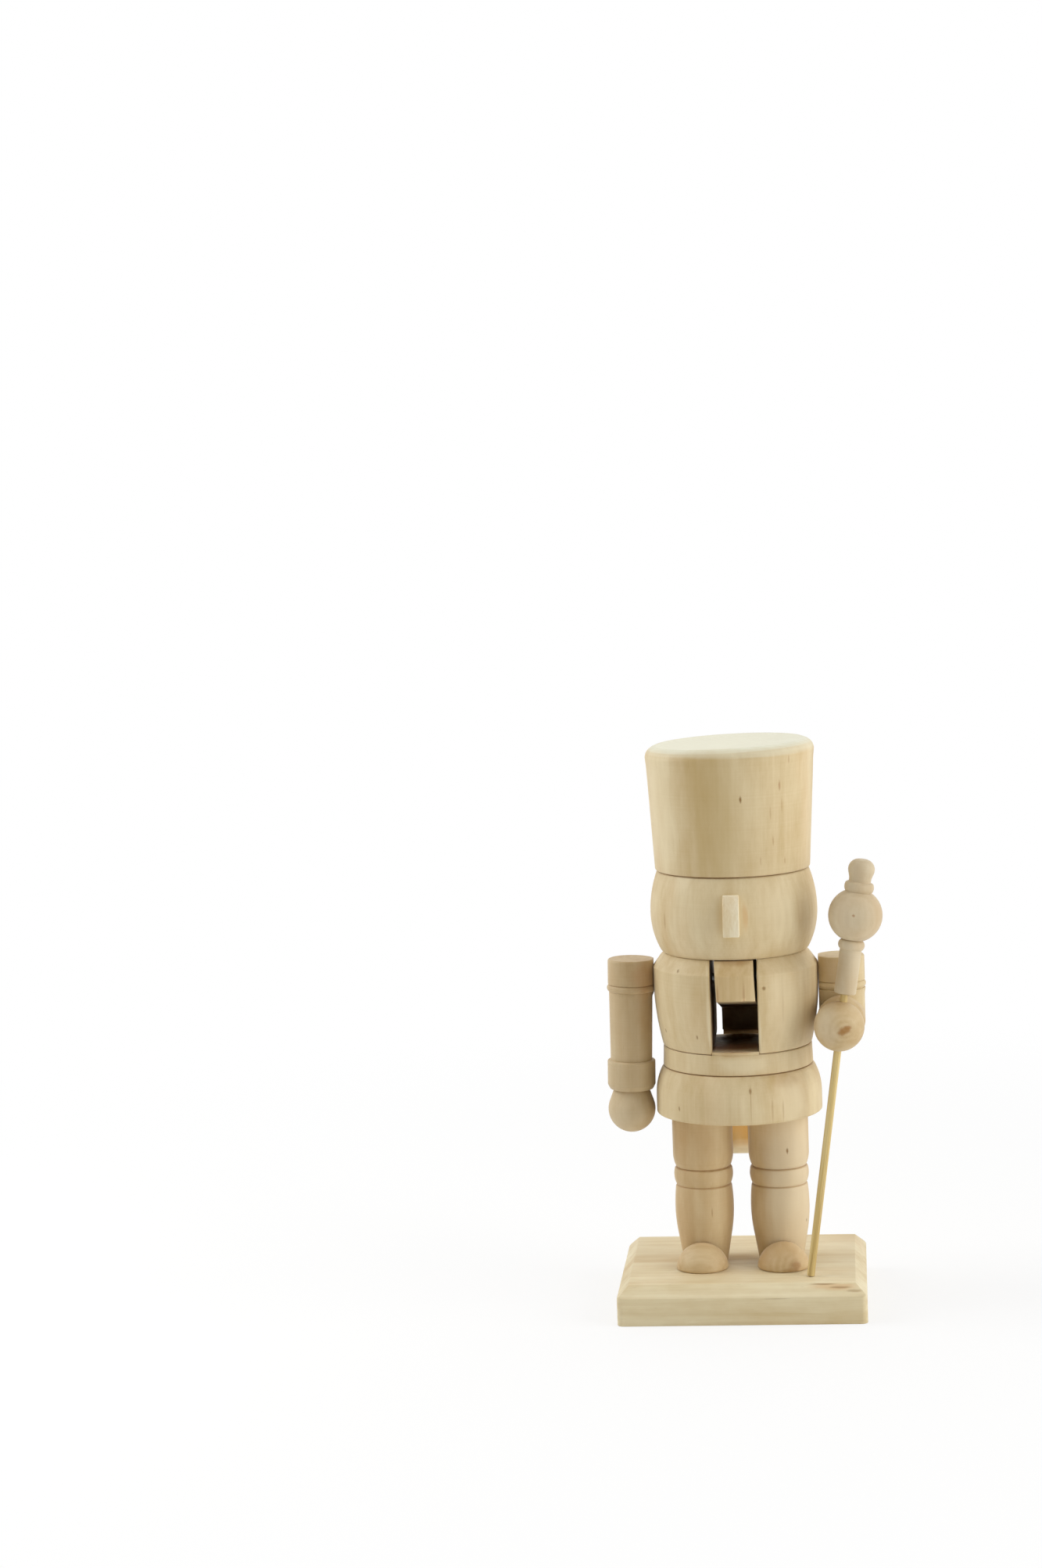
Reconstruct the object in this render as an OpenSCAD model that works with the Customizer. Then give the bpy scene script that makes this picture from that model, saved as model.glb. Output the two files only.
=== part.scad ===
// Unpainted turned-wood nutcracker figure. Lathe-turned pieces are pegged in a stack on a plinth,
// and a one-piece jaw and lever swings on a cross pin in the slotted chest.
// Millimetres, +Z up, origin at the middle of the plinth's underside. The figure looks along -Y.
// Left and right are the figure's own: left is +X.

/* [Plinth] */
// Plinth width, side to side
plinth_w = 77.7; // [72:0.5:90]
// Plinth depth, front to back
plinth_d = 69; // [64:0.5:80]
// Plinth thickness
plinth_t = 12.3; // [10:0.1:16]
// Chamfer planed on the four top edges
plinth_chamfer = 3.6; // [1:0.1:5]
// Radius of the upright corners
plinth_corner_r = 2; // [0.5:0.1:4]

/* [Legs] */
// Distance between the two leg axes
leg_pitch = 24; // [22.5:0.1:27]
// How far the legs stand in front of the figure's axis
leg_forward = 2; // [0:0.1:4]
// Ankle radius at the plinth
ankle_r = 6.9; // [6.2:0.05:7.6]
// Height of the ankle taper
ankle_h = 9; // [7:0.1:11]
// Radius where the ankle taper meets the calf
shin_r = 8.4; // [7.8:0.05:8.9]
// Rise from the ankle taper to the fullest part of the calf
calf_low_h = 9.3; // [7:0.1:11]
// Radius at the fullest part of the calf
calf_r = 9.3; // [8.9:0.05:9.9]
// Rise from the fullest part of the calf to the groove below the knee
calf_high_h = 7.1; // [5.5:0.1:9]
// Calf radius at the ledge under the knee ring
calf_top_r = 8.85; // [8.7:0.05:9.2]
// Radius in the two corners above and below the knee ring
knee_groove_r = 8.55; // [8:0.05:8.65]
// Height of the knee ring
knee_h = 5.7; // [4:0.1:7]
// Radius of the knee ring at its fullest
knee_r = 9.35; // [9.1:0.05:10]
// Radius of the ledge on top of the knee ring
knee_top_r = 8.95; // [8.7:0.05:9.05]
// Height of the rounded foot of the thigh
thigh_round_h = 4.4; // [3.5:0.1:6]
// Thigh radius
thigh_r = 9.55; // [9.1:0.05:10.3]
// Height of the straight thigh
thigh_h = 13.2; // [11:0.1:16]

/* [Shoes] */
// Radius of the quarter-ball shoe
shoe_r = 8.3; // [7:0.1:9]
// How far each shoe stands outside its leg's axis
shoe_out = 0.8; // [0:0.1:1.5]

/* [Skirt and torso] */
// How far the skirt below its flare stands outside the fullest part of the chest
skirt_proud = 0.2; // [-0.5:0.05:1.5]
// Radius of the skirt under the belt
skirt_top_r = 23.75; // [22.5:0.05:25]
// Height of the straight part of the skirt
skirt_drop_h = 6; // [4:0.1:8]
// Height of the skirt's flare
skirt_flare_h = 9.15; // [7:0.1:11]
// Belt radius at the skirt
belt_foot_r = 23.7; // [22.5:0.05:25]
// Belt radius at the chest
belt_r = 23.45; // [22.5:0.05:25]
// Belt height
belt_h = 6.6; // [5:0.1:9]
// Chest radius at the belt
chest_foot_r = 23.45; // [22.5:0.05:25]
// Chest radius at its fullest
chest_r = 26; // [25:0.05:28]
// Height from the belt to the fullest part of the chest
chest_low_h = 20.3; // [17:0.1:23]
// Height of the straight part of the chest
chest_high_h = 4.9; // [3:0.1:7]
// Height of the sloping shoulder
shoulder_h = 4.6; // [3:0.1:6]
// Radius of the chest under the head
chest_top_r = 22.7; // [22:0.05:24.5]
// Width of the mouth slot
slot_w = 14.6; // [14:0.1:16]
// Fall of the slot's floor towards the back, in degrees
slot_fall = 2; // [0:0.5:4]
// Depth of the V line turned where two pieces meet
seam = 0.35; // [0.15:0.05:0.6]

/* [Head and hat] */
// Head radius at the chest
head_foot_r = 22.95; // [22:0.05:24.5]
// How far the head at its fullest stands outside the fullest part of the chest
head_proud = 0.3; // [-0.5:0.05:1.5]
// Head radius under the hat
head_top_r = 23.8; // [22.5:0.05:25]
// Height from the chest to the fullest part of the head
head_low_h = 12.6; // [10:0.1:15]
// Height from the fullest part of the head to the hat
head_high_h = 13.4; // [12:0.1:16]
// Hat radius at the head
hat_foot_r = 24.4; // [23:0.05:25.5]
// How far the hat's taper, carried up to the crown, stands outside the fullest part of the chest
hat_proud = 0.6; // [-0.5:0.05:1.8]
// Hat height to its highest edge
hat_h = 39.4; // [32:0.1:46]
// Height of the rounded rim
hat_rim_h = 4.4; // [3:0.1:6]
// How far the rounded rim draws in to the flat crown
crown_in = 1.8; // [1:0.05:3]
// Sideways tilt of the crown, lower at the figure's right
crown_tilt = 1.7; // [0:0.1:3]

/* [Nose] */
// Nose width
nose_w = 5; // [4:0.1:7]
// Nose height
nose_h = 12.4; // [9:0.1:14]
// Height of the nose's foot above the chest
nose_rise = 8.4; // [6:0.1:9]
// How far the foot of the nose stands proud of the head
nose_proud = 4.4; // [3:0.1:6]
// How far the top of the nose stands proud of the head
nose_top_proud = 1.1; // [0.6:0.1:2]
// Depth of the nose's mortise in the head
nose_seat = 3; // [2:0.1:5]
// Radius of the nose's rounded front
nose_round_r = 25; // [18:1:60]

/* [Jaw and lever] */
// Width of the jaw and lever
jaw_w = 12; // [11:0.1:12.4]
// Height of the jaw's front face
jaw_h = 12.3; // [10:0.1:13.5]
// How far the lever sits off the middle of the slot, towards the figure's left
jaw_shift = 0.5; // [0:0.1:0.7]
// Gap between the closed jaw and the head
jaw_gap = 0.3; // [0.2:0.05:1]
// Fall of the lever's underside towards the back, in degrees
lever_fall = 12; // [8:0.5:14]
// Fall of the lever's top behind the pin, in degrees, more than the jaw opens
lever_top_fall = 27; // [26:0.5:29]
// How far the pin lies in front of the figure's axis
pin_forward = 3; // [1:0.1:5]
// How far the pin lies below the jaw's top
pin_drop = 8.3; // [7:0.1:9.5]
// Radius of the jaw pin
pin_r = 1.5; // [1.2:0.05:2]
// Running clearance round the pin
pin_clear = 0.06; // [0.03:0.01:0.09]
// Gap between the tail of the lever and the skirt
tail_gap = 0.75; // [0.4:0.05:1.5]
// Thickness of the tail, front to back
tail_t = 6; // [5:0.1:7]
// How far the lever's heel lies behind the figure's axis, at the back of the slot
heel_back = 20; // [16:0.5:21]
// Gap under the heel at the front of the slot's floor
heel_gap = 0.6; // [0.4:0.1:1.5]
// How far the tail hangs below the skirt
tail_below = 21; // [12:0.5:28]

/* [Arms] */
// Drop from the top of the chest to the top of the arms
arm_drop = 2.4; // [1:0.05:4]
// Radius of the shoulder cap
cap_r = 7.25; // [6.8:0.05:7.5]
// Height of the shoulder cap
cap_h = 8.1; // [6:0.1:10]
// Radius of the turned ring under the cap
arm_ring_r = 7.55; // [7.5:0.05:8.2]
// Height of the turned ring
arm_ring_h = 2.3; // [1.6:0.1:3]
// Sleeve radius under the ring
sleeve_r = 6.9; // [6.4:0.05:7.2]
// Sleeve radius at the cuff and the elbow
sleeve_low_r = 6.6; // [6.2:0.05:7]
// Sleeve length of the straight arm
sleeve_h = 22; // [18:0.1:28]
// Bevel at the cuff's lower edge
cuff_bevel = 0.8; // [0.3:0.1:1.2]
// Cuff radius
cuff_r = 7.6; // [7.1:0.05:8]
// Cuff length of the straight arm
cuff_h = 9.4; // [7:0.1:12]
// Cuff length of the bent arm
bent_cuff_h = 6.2; // [5:0.1:10]
// Clear sleeve between the elbow's mitre and the cuff of the bent arm
elbow_stub = 0.4; // [0.2:0.1:3]
// Taper of the hand towards the wrist, in degrees
wrist_taper = 20; // [16:0.5:24]
// Ball hand radius of the straight arm
hand_r = 7.5; // [7:0.05:8.1]
// Ball hand radius of the bent arm
bent_hand_r = 7.85; // [7.2:0.05:8.4]
// Distance from the cuff to the middle of the hand
hand_reach = 6.5; // [5.5:0.1:7]
// Outward splay of the straight arm, in degrees
arm_splay = 1.25; // [0:0.05:2]
// Depth of the flat on the straight arm where it meets the chest
arm_flat = 0.15; // [0.05:0.05:0.6]
// How far the bent arm stands off the chest on its peg
arm_gap = 0.1; // [0.05:0.05:0.8]
// Drop from the top of the bent arm to the axis of its forearm
elbow_drop = 19.25; // [18:0.05:24]
// Inward swing of the forearm, in degrees
forearm_swing = 3; // [0:0.5:8]

/* [Staff] */
// Radius of the bamboo rod
rod_r = 1.2; // [1:0.05:1.8]
// Sideways lean of the staff, in degrees
staff_lean = 8.2; // [4:0.1:10]
// Backward lean of the staff, in degrees
staff_tip = 1.5; // [0:0.1:3]
// Extra sideways lean of the staff head on its rod, in degrees
staff_head_lean = 0.8; // [0:0.1:2]
// How far the rod passes beside the middle of the hand, towards the figure's left
rod_shift = 0.4; // [0:0.1:1]
// Length of rod left bare between the hand and the ferrule
rod_bare = 2.4; // [1:0.1:4]
// Depth of the rod's socket in the staff head
rod_seat = 9; // [6:0.1:12]
// Ferrule radius
ferrule_r = 3.4; // [2.8:0.05:3.9]
// Ferrule height
ferrule_h = 13.9; // [13:0.1:17]
// Collar radius
collar_r = 4.15; // [4:0.05:5]
// Collar height
collar_h = 3.1; // [2:0.1:3.6]
// Radius at which the orb stands on the collar
neck_r = 3.3; // [3:0.05:3.9]
// Orb radius
orb_r = 8.4; // [7:0.05:10]
// Radius of the ring on the orb
orb_ring_r = 4.6; // [4.4:0.05:5.2]
// Height of the ring on the orb
orb_ring_h = 3.1; // [2.4:0.1:4]
// Radius of the knob's foot on the ring
knob_foot_r = 3.7; // [3.3:0.05:3.9]
// Knob radius at its fullest
knob_r = 4.15; // [4:0.05:4.4]
// Height from the ring to the knob's rounded top
knob_rise = 4; // [3:0.1:5]
// Radius of the knob's rounded top edge
knob_edge = 3.2; // [2:0.1:3.6]

/* [Pegs and screws] */
// Radius of the wooden pegs
peg_r = 3; // [2.5:0.1:3.5]
// Depth of a peg's hole on each side of a joint
peg_depth = 8; // [6:0.1:9]
// Radius of the shoulder and elbow pegs
arm_peg_r = 1.5; // [1.2:0.1:1.7]
// Depth of a shoulder peg's hole on each side of the joint
arm_peg_depth = 6; // [4:0.1:7]
// Depth of the elbow peg's hole on each side of the mitre
elbow_peg_depth = 5; // [4:0.1:6]
// Distance of the neck pegs from the middle
neck_peg_x = 14.5; // [13:0.1:16]
// How far the neck pegs lie behind the figure's axis
neck_peg_back = 7; // [5:0.1:9]
// How far the shoulder pegs lie below the top of the arms
shoulder_peg_drop = 4.1; // [3.8:0.05:4.6]
// Glue clearance round a peg, and at its ends
glue_gap = 0.05; // [0.03:0.01:0.1]
// Radius of the leg screws' shank
screw_r = 1.5; // [1.2:0.05:2]
// Radius of the leg screws' head
screw_head_r = 3; // [2.6:0.05:3.6]
// Length of the leg screws
screw_len = 25; // [20:0.5:30]
// How far the screw heads are sunk into the plinth
screw_sink = 0.8; // [0.3:0.1:2]

/* [Hidden] */

$fn = 96;
// Largest gap between a long arc and the chords that draw it
arc_error = 0.01;
// Extra length of a cut past the face that it opens
over = 1;
LEFT = 1;
RIGHT = -1;

// How far outside the hat's taper the arc of its rim starts, so that the two cross in a clean edge
rim_over = 0.35;

// Share of the knee ring's height at which it is fullest
knee_full = 0.6;

// Heights of the stacked pieces
leg_h = ankle_h + calf_low_h + calf_high_h + knee_h + thigh_round_h + thigh_h;
skirt_z = plinth_t + leg_h;
skirt_h = skirt_drop_h + skirt_flare_h;
belt_z = skirt_z + skirt_h;
chest_z = belt_z + belt_h;
chest_h = chest_low_h + chest_high_h + shoulder_h;
head_z = chest_z + chest_h;
head_h = head_low_h + head_high_h;
hat_z = head_z + head_h;

// Chest, head, hat and skirt are turned from one size of stock
skirt_r = chest_r + skirt_proud;
head_r = chest_r + head_proud;
hat_r = chest_r + hat_proud;
crown_r = hat_r - crown_in;

// The slot's floor is cut just under the line between chest and belt
slot_z = chest_z - seam;
// Wood left between the slot's floor and the hole of the waist peg
slot_floor_t = 2.2;
waist_peg_up = slot_z - belt_z - slot_floor_t;

// Leg radius at a height up to the fullest part of the calf, with the calf's arc taken as its tangent
function shin_radius(h) = h <= ankle_h
    ? ankle_r + (shin_r - ankle_r) * h / ankle_h
    : min(calf_r, shin_r + 2 * (calf_r - shin_r) * (h - ankle_h) / calf_low_h);
// A shoe's flat back stands just clear of the leg at the height of the shoe's top
shoe_back_y = -leg_forward - shin_radius(shoe_r) - 2 * glue_gap;

// Jaw, lever and pin
jaw_top_z = head_z - jaw_gap;
jaw_low_z = jaw_top_z - jaw_h;
pin_y = -pin_forward;
pin_z = jaw_top_z - pin_drop;
tail_y = max(skirt_r, chest_r, belt_foot_r) + tail_gap;
tail_z = skirt_z - tail_below;
heel_z = slot_z + heel_gap;
// Radii of the lever's inside corners and of its outside corner
lever_inner_r = 2.5;
lever_outer_r = 7;

// The straight arm is pared to a shallow flat at the chest, and the bent arm stands off on its peg
right_arm_x = -(chest_r + 2 * glue_gap + cap_r - arm_flat);
left_arm_x = chest_r + arm_gap + cap_r;
arm_top_z = head_z - arm_drop;
arm_edge = 0.7;
shoulder_peg_z = arm_top_z - shoulder_peg_drop;
elbow_z = arm_top_z - elbow_drop;
forearm_sleeve = max(cuff_r, sleeve_low_r) + elbow_stub;
forearm_reach = forearm_sleeve + bent_cuff_h + hand_reach;
hand_pos = [left_arm_x - forearm_reach * sin(forearm_swing),
    -forearm_reach * cos(forearm_swing), elbow_z];

// Staff, measured along its own axis from the middle of the hand
ferrule_s = bent_hand_r + rod_bare;
rod_foot_s = (elbow_z - plinth_t - glue_gap - rod_r * (sin(staff_lean) + sin(staff_tip)))
    / (cos(staff_lean) * cos(staff_tip));
orb_s = ferrule_h + collar_h + sqrt(orb_r * orb_r - neck_r * neck_r);
orb_ring_s = orb_s + sqrt(orb_r * orb_r - knob_r * knob_r);
knob_s = orb_ring_s + orb_ring_h + knob_rise;

// Outlines of turned work: x is the radius and y the height
module band(z0, z1, r0, r1)
    polygon([[0, z0], [r0, z0], [r1, z1], [0, z1]]);

// Band edged by an arc that starts upright at z0 and is drawn in or out to r1 at z1
module swell(z0, z1, r0, r1) {
    h = abs(z1 - z0);
    p = abs(r0 - r1);
    arc_r = (h * h + p * p) / (2 * max(p, arc_error));
    arc_fn = max(64, ceil(180 / acos(1 - arc_error / arc_r)));
    if (p < 2 * arc_error)
        band(min(z0, z1), max(z0, z1), r0, r0);
    else if (r0 > r1) {
        translate([0, min(z0, z1)]) square([r1, h]);
        intersection() {
            translate([0, min(z0, z1)]) square([r0, h]);
            translate([r0 - arc_r, z0]) circle(arc_r, $fn = arc_fn);
        }
    }
    else
        difference() {
            translate([0, min(z0, z1)]) square([r1, h]);
            translate([r0 + arc_r, z0]) circle(arc_r, $fn = arc_fn);
        }
}

// Rounded ring between two heights
module bead(z0, z1, r_edge, r_mid) {
    swell((z0 + z1) / 2, z0, r_mid, r_edge);
    swell((z0 + z1) / 2, z1, r_mid, r_edge);
}

// Quarter round that turns into the edge of a knob, over a flat top
module swell_edge(z, r, edge)
    intersection() {
        translate([0, z]) square([r, edge]);
        translate([r - edge, z]) circle(edge);
    }

// Half disc that turns into a ball
module half_disc(z, r)
    intersection() {
        translate([0, z - r]) square([r, 2 * r]);
        translate([0, z]) circle(r);
    }

// Outline with a small bevel cut at each end, for seams between turned pieces
module seamed(z0, z1, r0, r1) {
    half = (z1 - z0) / 2;
    intersection() {
        union() children();
        polygon([[0, z0], [r0 - seam, z0], [r0 - seam + half, z0 + half],
            [r1 - seam + half, z1 - half], [r1 - seam, z1], [0, z1]]);
    }
}

// Peg of the given total length with bevelled ends, centred on the joint at the origin
module peg(r, below, above) {
    bevel = r / 5;
    low = -below + glue_gap;
    high = above - glue_gap;
    rotate_extrude() {
        band(low, low + bevel, r - bevel, r);
        band(low + bevel, high - bevel, r, r);
        band(high - bevel, high, r, r - bevel);
    }
}

module peg_hole(r, below, above)
    translate([0, 0, -below]) cylinder(r = r + glue_gap, h = below + above);

module plinth_blank() {
    flat_w = plinth_w - 2 * plinth_corner_r;
    flat_d = plinth_d - 2 * plinth_corner_r;
    translate([-plinth_w / 2, -flat_d / 2, 0]) cube([plinth_w, flat_d, plinth_t]);
    translate([-flat_w / 2, -plinth_d / 2, 0]) cube([flat_w, plinth_d, plinth_t]);
    for (x = [-1, 1], y = [-1, 1])
        translate([x * flat_w / 2, y * flat_d / 2, 0]) cylinder(r = plinth_corner_r, h = plinth_t);
}

// Cross-section of the plinth with its two top edges chamfered
module plinth_section(w)
    polygon([[-w / 2, 0], [w / 2, 0], [w / 2, plinth_t - plinth_chamfer],
        [w / 2 - plinth_chamfer, plinth_t], [-w / 2 + plinth_chamfer, plinth_t],
        [-w / 2, plinth_t - plinth_chamfer]]);

module at_leg(side)
    translate([side * leg_pitch / 2, -leg_forward, 0]) children();

// Space that a screw takes, grown by a clearance
module screw_shape(gap) {
    head_h = screw_head_r - screw_r;
    tip_h = 2 * screw_r;
    translate([0, 0, screw_sink]) rotate_extrude() {
        band(0, head_h, screw_head_r + gap, screw_r + gap);
        band(head_h, screw_len - tip_h, screw_r + gap, screw_r + gap);
        band(screw_len - tip_h, screw_len + gap, screw_r + gap, screw_r / 4 + gap);
    }
}

module plinth() color("burlywood")
    difference() {
        intersection() {
            plinth_blank();
            translate([0, plinth_d / 2, 0]) rotate([90, 0, 0])
                linear_extrude(plinth_d) plinth_section(plinth_w);
            translate([-plinth_w / 2, 0, 0]) rotate([90, 0, 90])
                linear_extrude(plinth_w) plinth_section(plinth_d);
        }
        for (side = [LEFT, RIGHT]) at_leg(side) {
            screw_shape(glue_gap);
            translate([0, 0, -over])
                cylinder(r = screw_head_r + glue_gap, h = screw_sink + over);
        }
    }

module leg_screw(side) at_leg(side)
    difference() {
        screw_shape(0);
        for (turn = [0, 90])
            translate([0, 0, screw_sink]) rotate([0, 0, turn])
                cube([screw_head_r, screw_r / 2, screw_r], center = true);
    }

module left_leg_screw() color("silver") leg_screw(LEFT);
module right_leg_screw() color("silver") leg_screw(RIGHT);

module leg_outline() {
    calf_z = ankle_h + calf_low_h;
    knee_z = calf_z + calf_high_h;
    thigh_z = knee_z + knee_h + thigh_round_h;
    band(0, ankle_h, ankle_r, shin_r);
    swell(calf_z, ankle_h, calf_r, shin_r);
    swell(calf_z, knee_z, calf_r, calf_top_r);
    swell(knee_z + knee_full * knee_h, knee_z, knee_r, knee_groove_r);
    swell(knee_z + knee_full * knee_h, knee_z + knee_h, knee_r, knee_top_r);
    swell(thigh_z, knee_z + knee_h, thigh_r, knee_groove_r);
    band(thigh_z, leg_h, thigh_r, thigh_r);
}

module leg(side)
    difference() {
        at_leg(side) translate([0, 0, plinth_t]) rotate_extrude() leg_outline();
        at_leg(side) screw_shape(glue_gap);
        at_leg(side) translate([0, 0, skirt_z]) peg_hole(peg_r, peg_depth, over);
    }

module left_leg() color("tan") leg(LEFT);
module right_leg() color("tan") leg(RIGHT);

// Quarter of a ball, flat on the plinth and flat behind
module shoe(side)
    translate([side * (leg_pitch / 2 + shoe_out), shoe_back_y, plinth_t])
        intersection() {
            sphere(shoe_r);
            translate([-shoe_r, -shoe_r, 0]) cube([2 * shoe_r, shoe_r, shoe_r]);
        }

module left_shoe() color("tan") shoe(LEFT);
module right_shoe() color("tan") shoe(RIGHT);

module leg_peg(side)
    at_leg(side) translate([0, 0, skirt_z]) peg(peg_r, peg_depth, peg_depth);

module left_leg_peg() color("wheat") leg_peg(LEFT);
module right_leg_peg() color("wheat") leg_peg(RIGHT);

module skirt() color("burlywood")
    difference() {
        translate([0, 0, skirt_z]) rotate_extrude() seamed(0, skirt_h, skirt_r, skirt_top_r) {
            band(0, skirt_drop_h, skirt_r, skirt_r);
            swell(skirt_drop_h, skirt_h, skirt_r, skirt_top_r);
        }
        for (side = [LEFT, RIGHT]) at_leg(side)
            translate([0, 0, skirt_z]) peg_hole(peg_r, over, peg_depth);
        translate([0, 0, belt_z]) peg_hole(peg_r, peg_depth, over);
    }

module waist_peg() color("wheat")
    translate([0, 0, belt_z]) peg(peg_r, peg_depth, waist_peg_up);

module chest_outline() {
    shoulder_z = chest_low_h + chest_high_h;
    seamed(0, chest_h, chest_foot_r, chest_top_r) {
        swell(chest_low_h, 0, chest_r, chest_foot_r);
        band(chest_low_h, shoulder_z, chest_r, chest_r);
        band(shoulder_z, chest_h, chest_r, chest_top_r);
    }
}

module pin_hole(clearance)
    translate([-chest_r - over, pin_y, pin_z]) rotate([0, 90, 0])
        cylinder(r = pin_r + clearance, h = 2 * (chest_r + over));

module at_neck_peg(side)
    translate([side * neck_peg_x, neck_peg_back, head_z]) children();

// Lays a peg along X at the face where an arm meets the chest, pointing outwards
module at_shoulder_peg(side)
    translate([side * (chest_r + glue_gap), 0, shoulder_peg_z]) rotate([0, side * 90, 0]) children();

// Chest and belt are one turning, slotted from the top down to the belt
module torso() color("burlywood")
    difference() {
        rotate_extrude() {
            translate([0, belt_z]) seamed(0, belt_h, belt_foot_r, belt_r)
                band(0, belt_h, belt_foot_r, belt_r);
            translate([0, chest_z]) chest_outline();
        }
        translate([0, -chest_foot_r, slot_z]) rotate([-slot_fall, 0, 0])
            translate([-slot_w / 2, -2 * over - chest_r, 0]) cube([slot_w, 4 * chest_r, 2 * chest_h]);
        pin_hole(glue_gap);
        translate([0, 0, belt_z]) peg_hole(peg_r, over, waist_peg_up);
        for (side = [LEFT, RIGHT]) {
            at_neck_peg(side) peg_hole(peg_r, peg_depth, over);
            at_shoulder_peg(side) peg_hole(arm_peg_r, arm_peg_depth, over);
        }
    }

module jaw_pin() color("silver") {
    reach = sqrt(chest_r * chest_r - pin_y * pin_y) - 2 * pin_r;
    translate([0, pin_y, pin_z]) rotate([0, 90, 0]) peg(pin_r, reach, reach);
}

// Height of the lever's underside and of its top behind the pin, at a distance y
function lever_low(y) = jaw_low_z - (y + chest_r) * tan(lever_fall);
function lever_high(y) = jaw_top_z - (y - pin_y) * tan(lever_top_fall);

// Points of an arc that rounds the corner b between its neighbours a and c
function unit(v) = v / norm(v);
function rounded(a, b, c, r, steps = 8) =
    let(u = unit(a - b), v = unit(c - b), half = acos(u * v) / 2,
        middle = b + unit(u + v) * r / sin(half),
        from = b + u * r / tan(half) - middle, to = b + v * r / tan(half) - middle,
        sweep = 180 - 2 * half)
    [for (i = [0 : steps])
        middle + (from * sin(sweep * (1 - i / steps)) + to * sin(sweep * i / steps)) / sin(sweep)];

// Side view of the lever: x is the distance to the back and y the height
module lever_outline() {
    front = -chest_r - over;
    back = tail_y + tail_t;
    jaw_low = [front, lever_low(front)];
    throat = [heel_back, lever_low(heel_back)];
    heel = [heel_back, heel_z];
    inner = [tail_y, heel_z];
    tail_end = tail_z + tail_t / 2;
    outer = [back, lever_high(back)];
    polygon(concat(
        [jaw_low],
        rounded(jaw_low, throat, heel, lever_inner_r),
        [heel],
        rounded(heel, inner, [tail_y, tail_end], lever_inner_r),
        [[tail_y, tail_end], [back, tail_end]],
        rounded([back, tail_end], outer, [pin_y, jaw_top_z], lever_outer_r),
        [[pin_y, jaw_top_z], [front, jaw_top_z]]));
    translate([tail_y + tail_t / 2, tail_end]) circle(tail_t / 2);
}

// The jaw's front is turned with the chest, so it follows the chest's outline
module jaw_lever() color("tan")
    difference() {
        intersection() {
            translate([jaw_shift - jaw_w / 2, 0, 0]) rotate([90, 0, 90])
                linear_extrude(jaw_w) lever_outline();
            union() {
                translate([0, 0, chest_z]) rotate_extrude() chest_outline();
                translate([-chest_r, 0, 0]) cube([2 * chest_r, 2 * tail_y + tail_t, head_z]);
            }
        }
        pin_hole(pin_clear);
    }

module neck_peg(side) at_neck_peg(side) peg(peg_r, peg_depth, peg_depth);

module left_neck_peg() color("wheat") neck_peg(LEFT);
module right_neck_peg() color("wheat") neck_peg(RIGHT);

// Side view of the nose: x is the distance in front of the mortise's floor and y the height
module nose_outline() {
    foot = [nose_seat + nose_proud, 0];
    top = [nose_seat + nose_top_proud, nose_h];
    chord = top - foot;
    sag = sqrt(nose_round_r * nose_round_r - norm(chord) * norm(chord) / 4);
    middle = (foot + top) / 2 + sag * unit([-chord[1], chord[0]]);
    intersection() {
        square([nose_round_r, nose_h]);
        translate(middle) circle(nose_round_r, $fn = 2 * $fn);
    }
}

module at_nose()
    translate([0, -head_r + nose_seat, head_z + nose_rise]) rotate([90, 0, -90]) children();

module nose() color("wheat")
    at_nose() translate([0, 0, -nose_w / 2]) linear_extrude(nose_w) nose_outline();

module head() color("burlywood")
    difference() {
        translate([0, 0, head_z]) rotate_extrude() seamed(0, head_h, head_foot_r, head_top_r) {
            swell(head_low_h, 0, head_r, head_foot_r);
            swell(head_low_h, head_h, head_r, head_top_r);
        }
        at_nose() translate([0, -glue_gap, -nose_w / 2 - glue_gap])
            cube([nose_seat + over, nose_h + 2 * glue_gap, nose_w + 2 * glue_gap]);
        for (side = [LEFT, RIGHT]) at_neck_peg(side) peg_hole(peg_r, over, peg_depth);
        translate([0, 0, hat_z]) peg_hole(peg_r, peg_depth, over);
    }

module hat_peg() color("wheat")
    translate([0, 0, hat_z]) peg(peg_r, peg_depth, peg_depth);

// Upright taper, cut by a rim and crown that lean a little to one side
module hat() color("burlywood")
    difference() {
        intersection() {
            translate([0, 0, hat_z]) rotate_extrude() {
                band(0, seam, hat_foot_r - seam, hat_foot_r);
                band(seam, hat_h, hat_foot_r, hat_r);
            }
            translate([0, 0, hat_z + hat_h - crown_r * sin(crown_tilt)])
                rotate([0, -crown_tilt, 0]) rotate_extrude() {
                    band(-hat_h - over, -hat_rim_h, hat_r + 2 * over, hat_r + 2 * over);
                    swell(-hat_rim_h, 0, hat_r + rim_over, crown_r);
                }
        }
        translate([0, 0, hat_z]) peg_hole(peg_r, over, peg_depth);
    }

// Shoulder cap and ring, from the top of the arm at 0 downwards
module shoulder_outline() {
    swell(-arm_edge, 0, cap_r, cap_r - arm_edge);
    band(-cap_h, -arm_edge, cap_r, cap_r);
    bead(-cap_h - arm_ring_h, -cap_h, sleeve_r, arm_ring_r);
}

// Cuff and ball hand, which tapers to the wrist, from the top of the cuff at 0 downwards
module hand_outline(cuff_len, ball_r) {
    ball_z = -cuff_len - hand_reach;
    bevel_z = -cuff_len + 2 * cuff_bevel;
    wrist_r = (ball_r - hand_reach * sin(wrist_taper)) / cos(wrist_taper);
    band(-seam, 0, cuff_r, cuff_r - seam);
    band(bevel_z, -seam, cuff_r, cuff_r);
    band(-cuff_len, bevel_z, cuff_r - cuff_bevel, cuff_r);
    band(ball_z + ball_r * sin(wrist_taper), -cuff_len, ball_r * cos(wrist_taper), wrist_r);
    half_disc(ball_z, ball_r);
}

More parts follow.
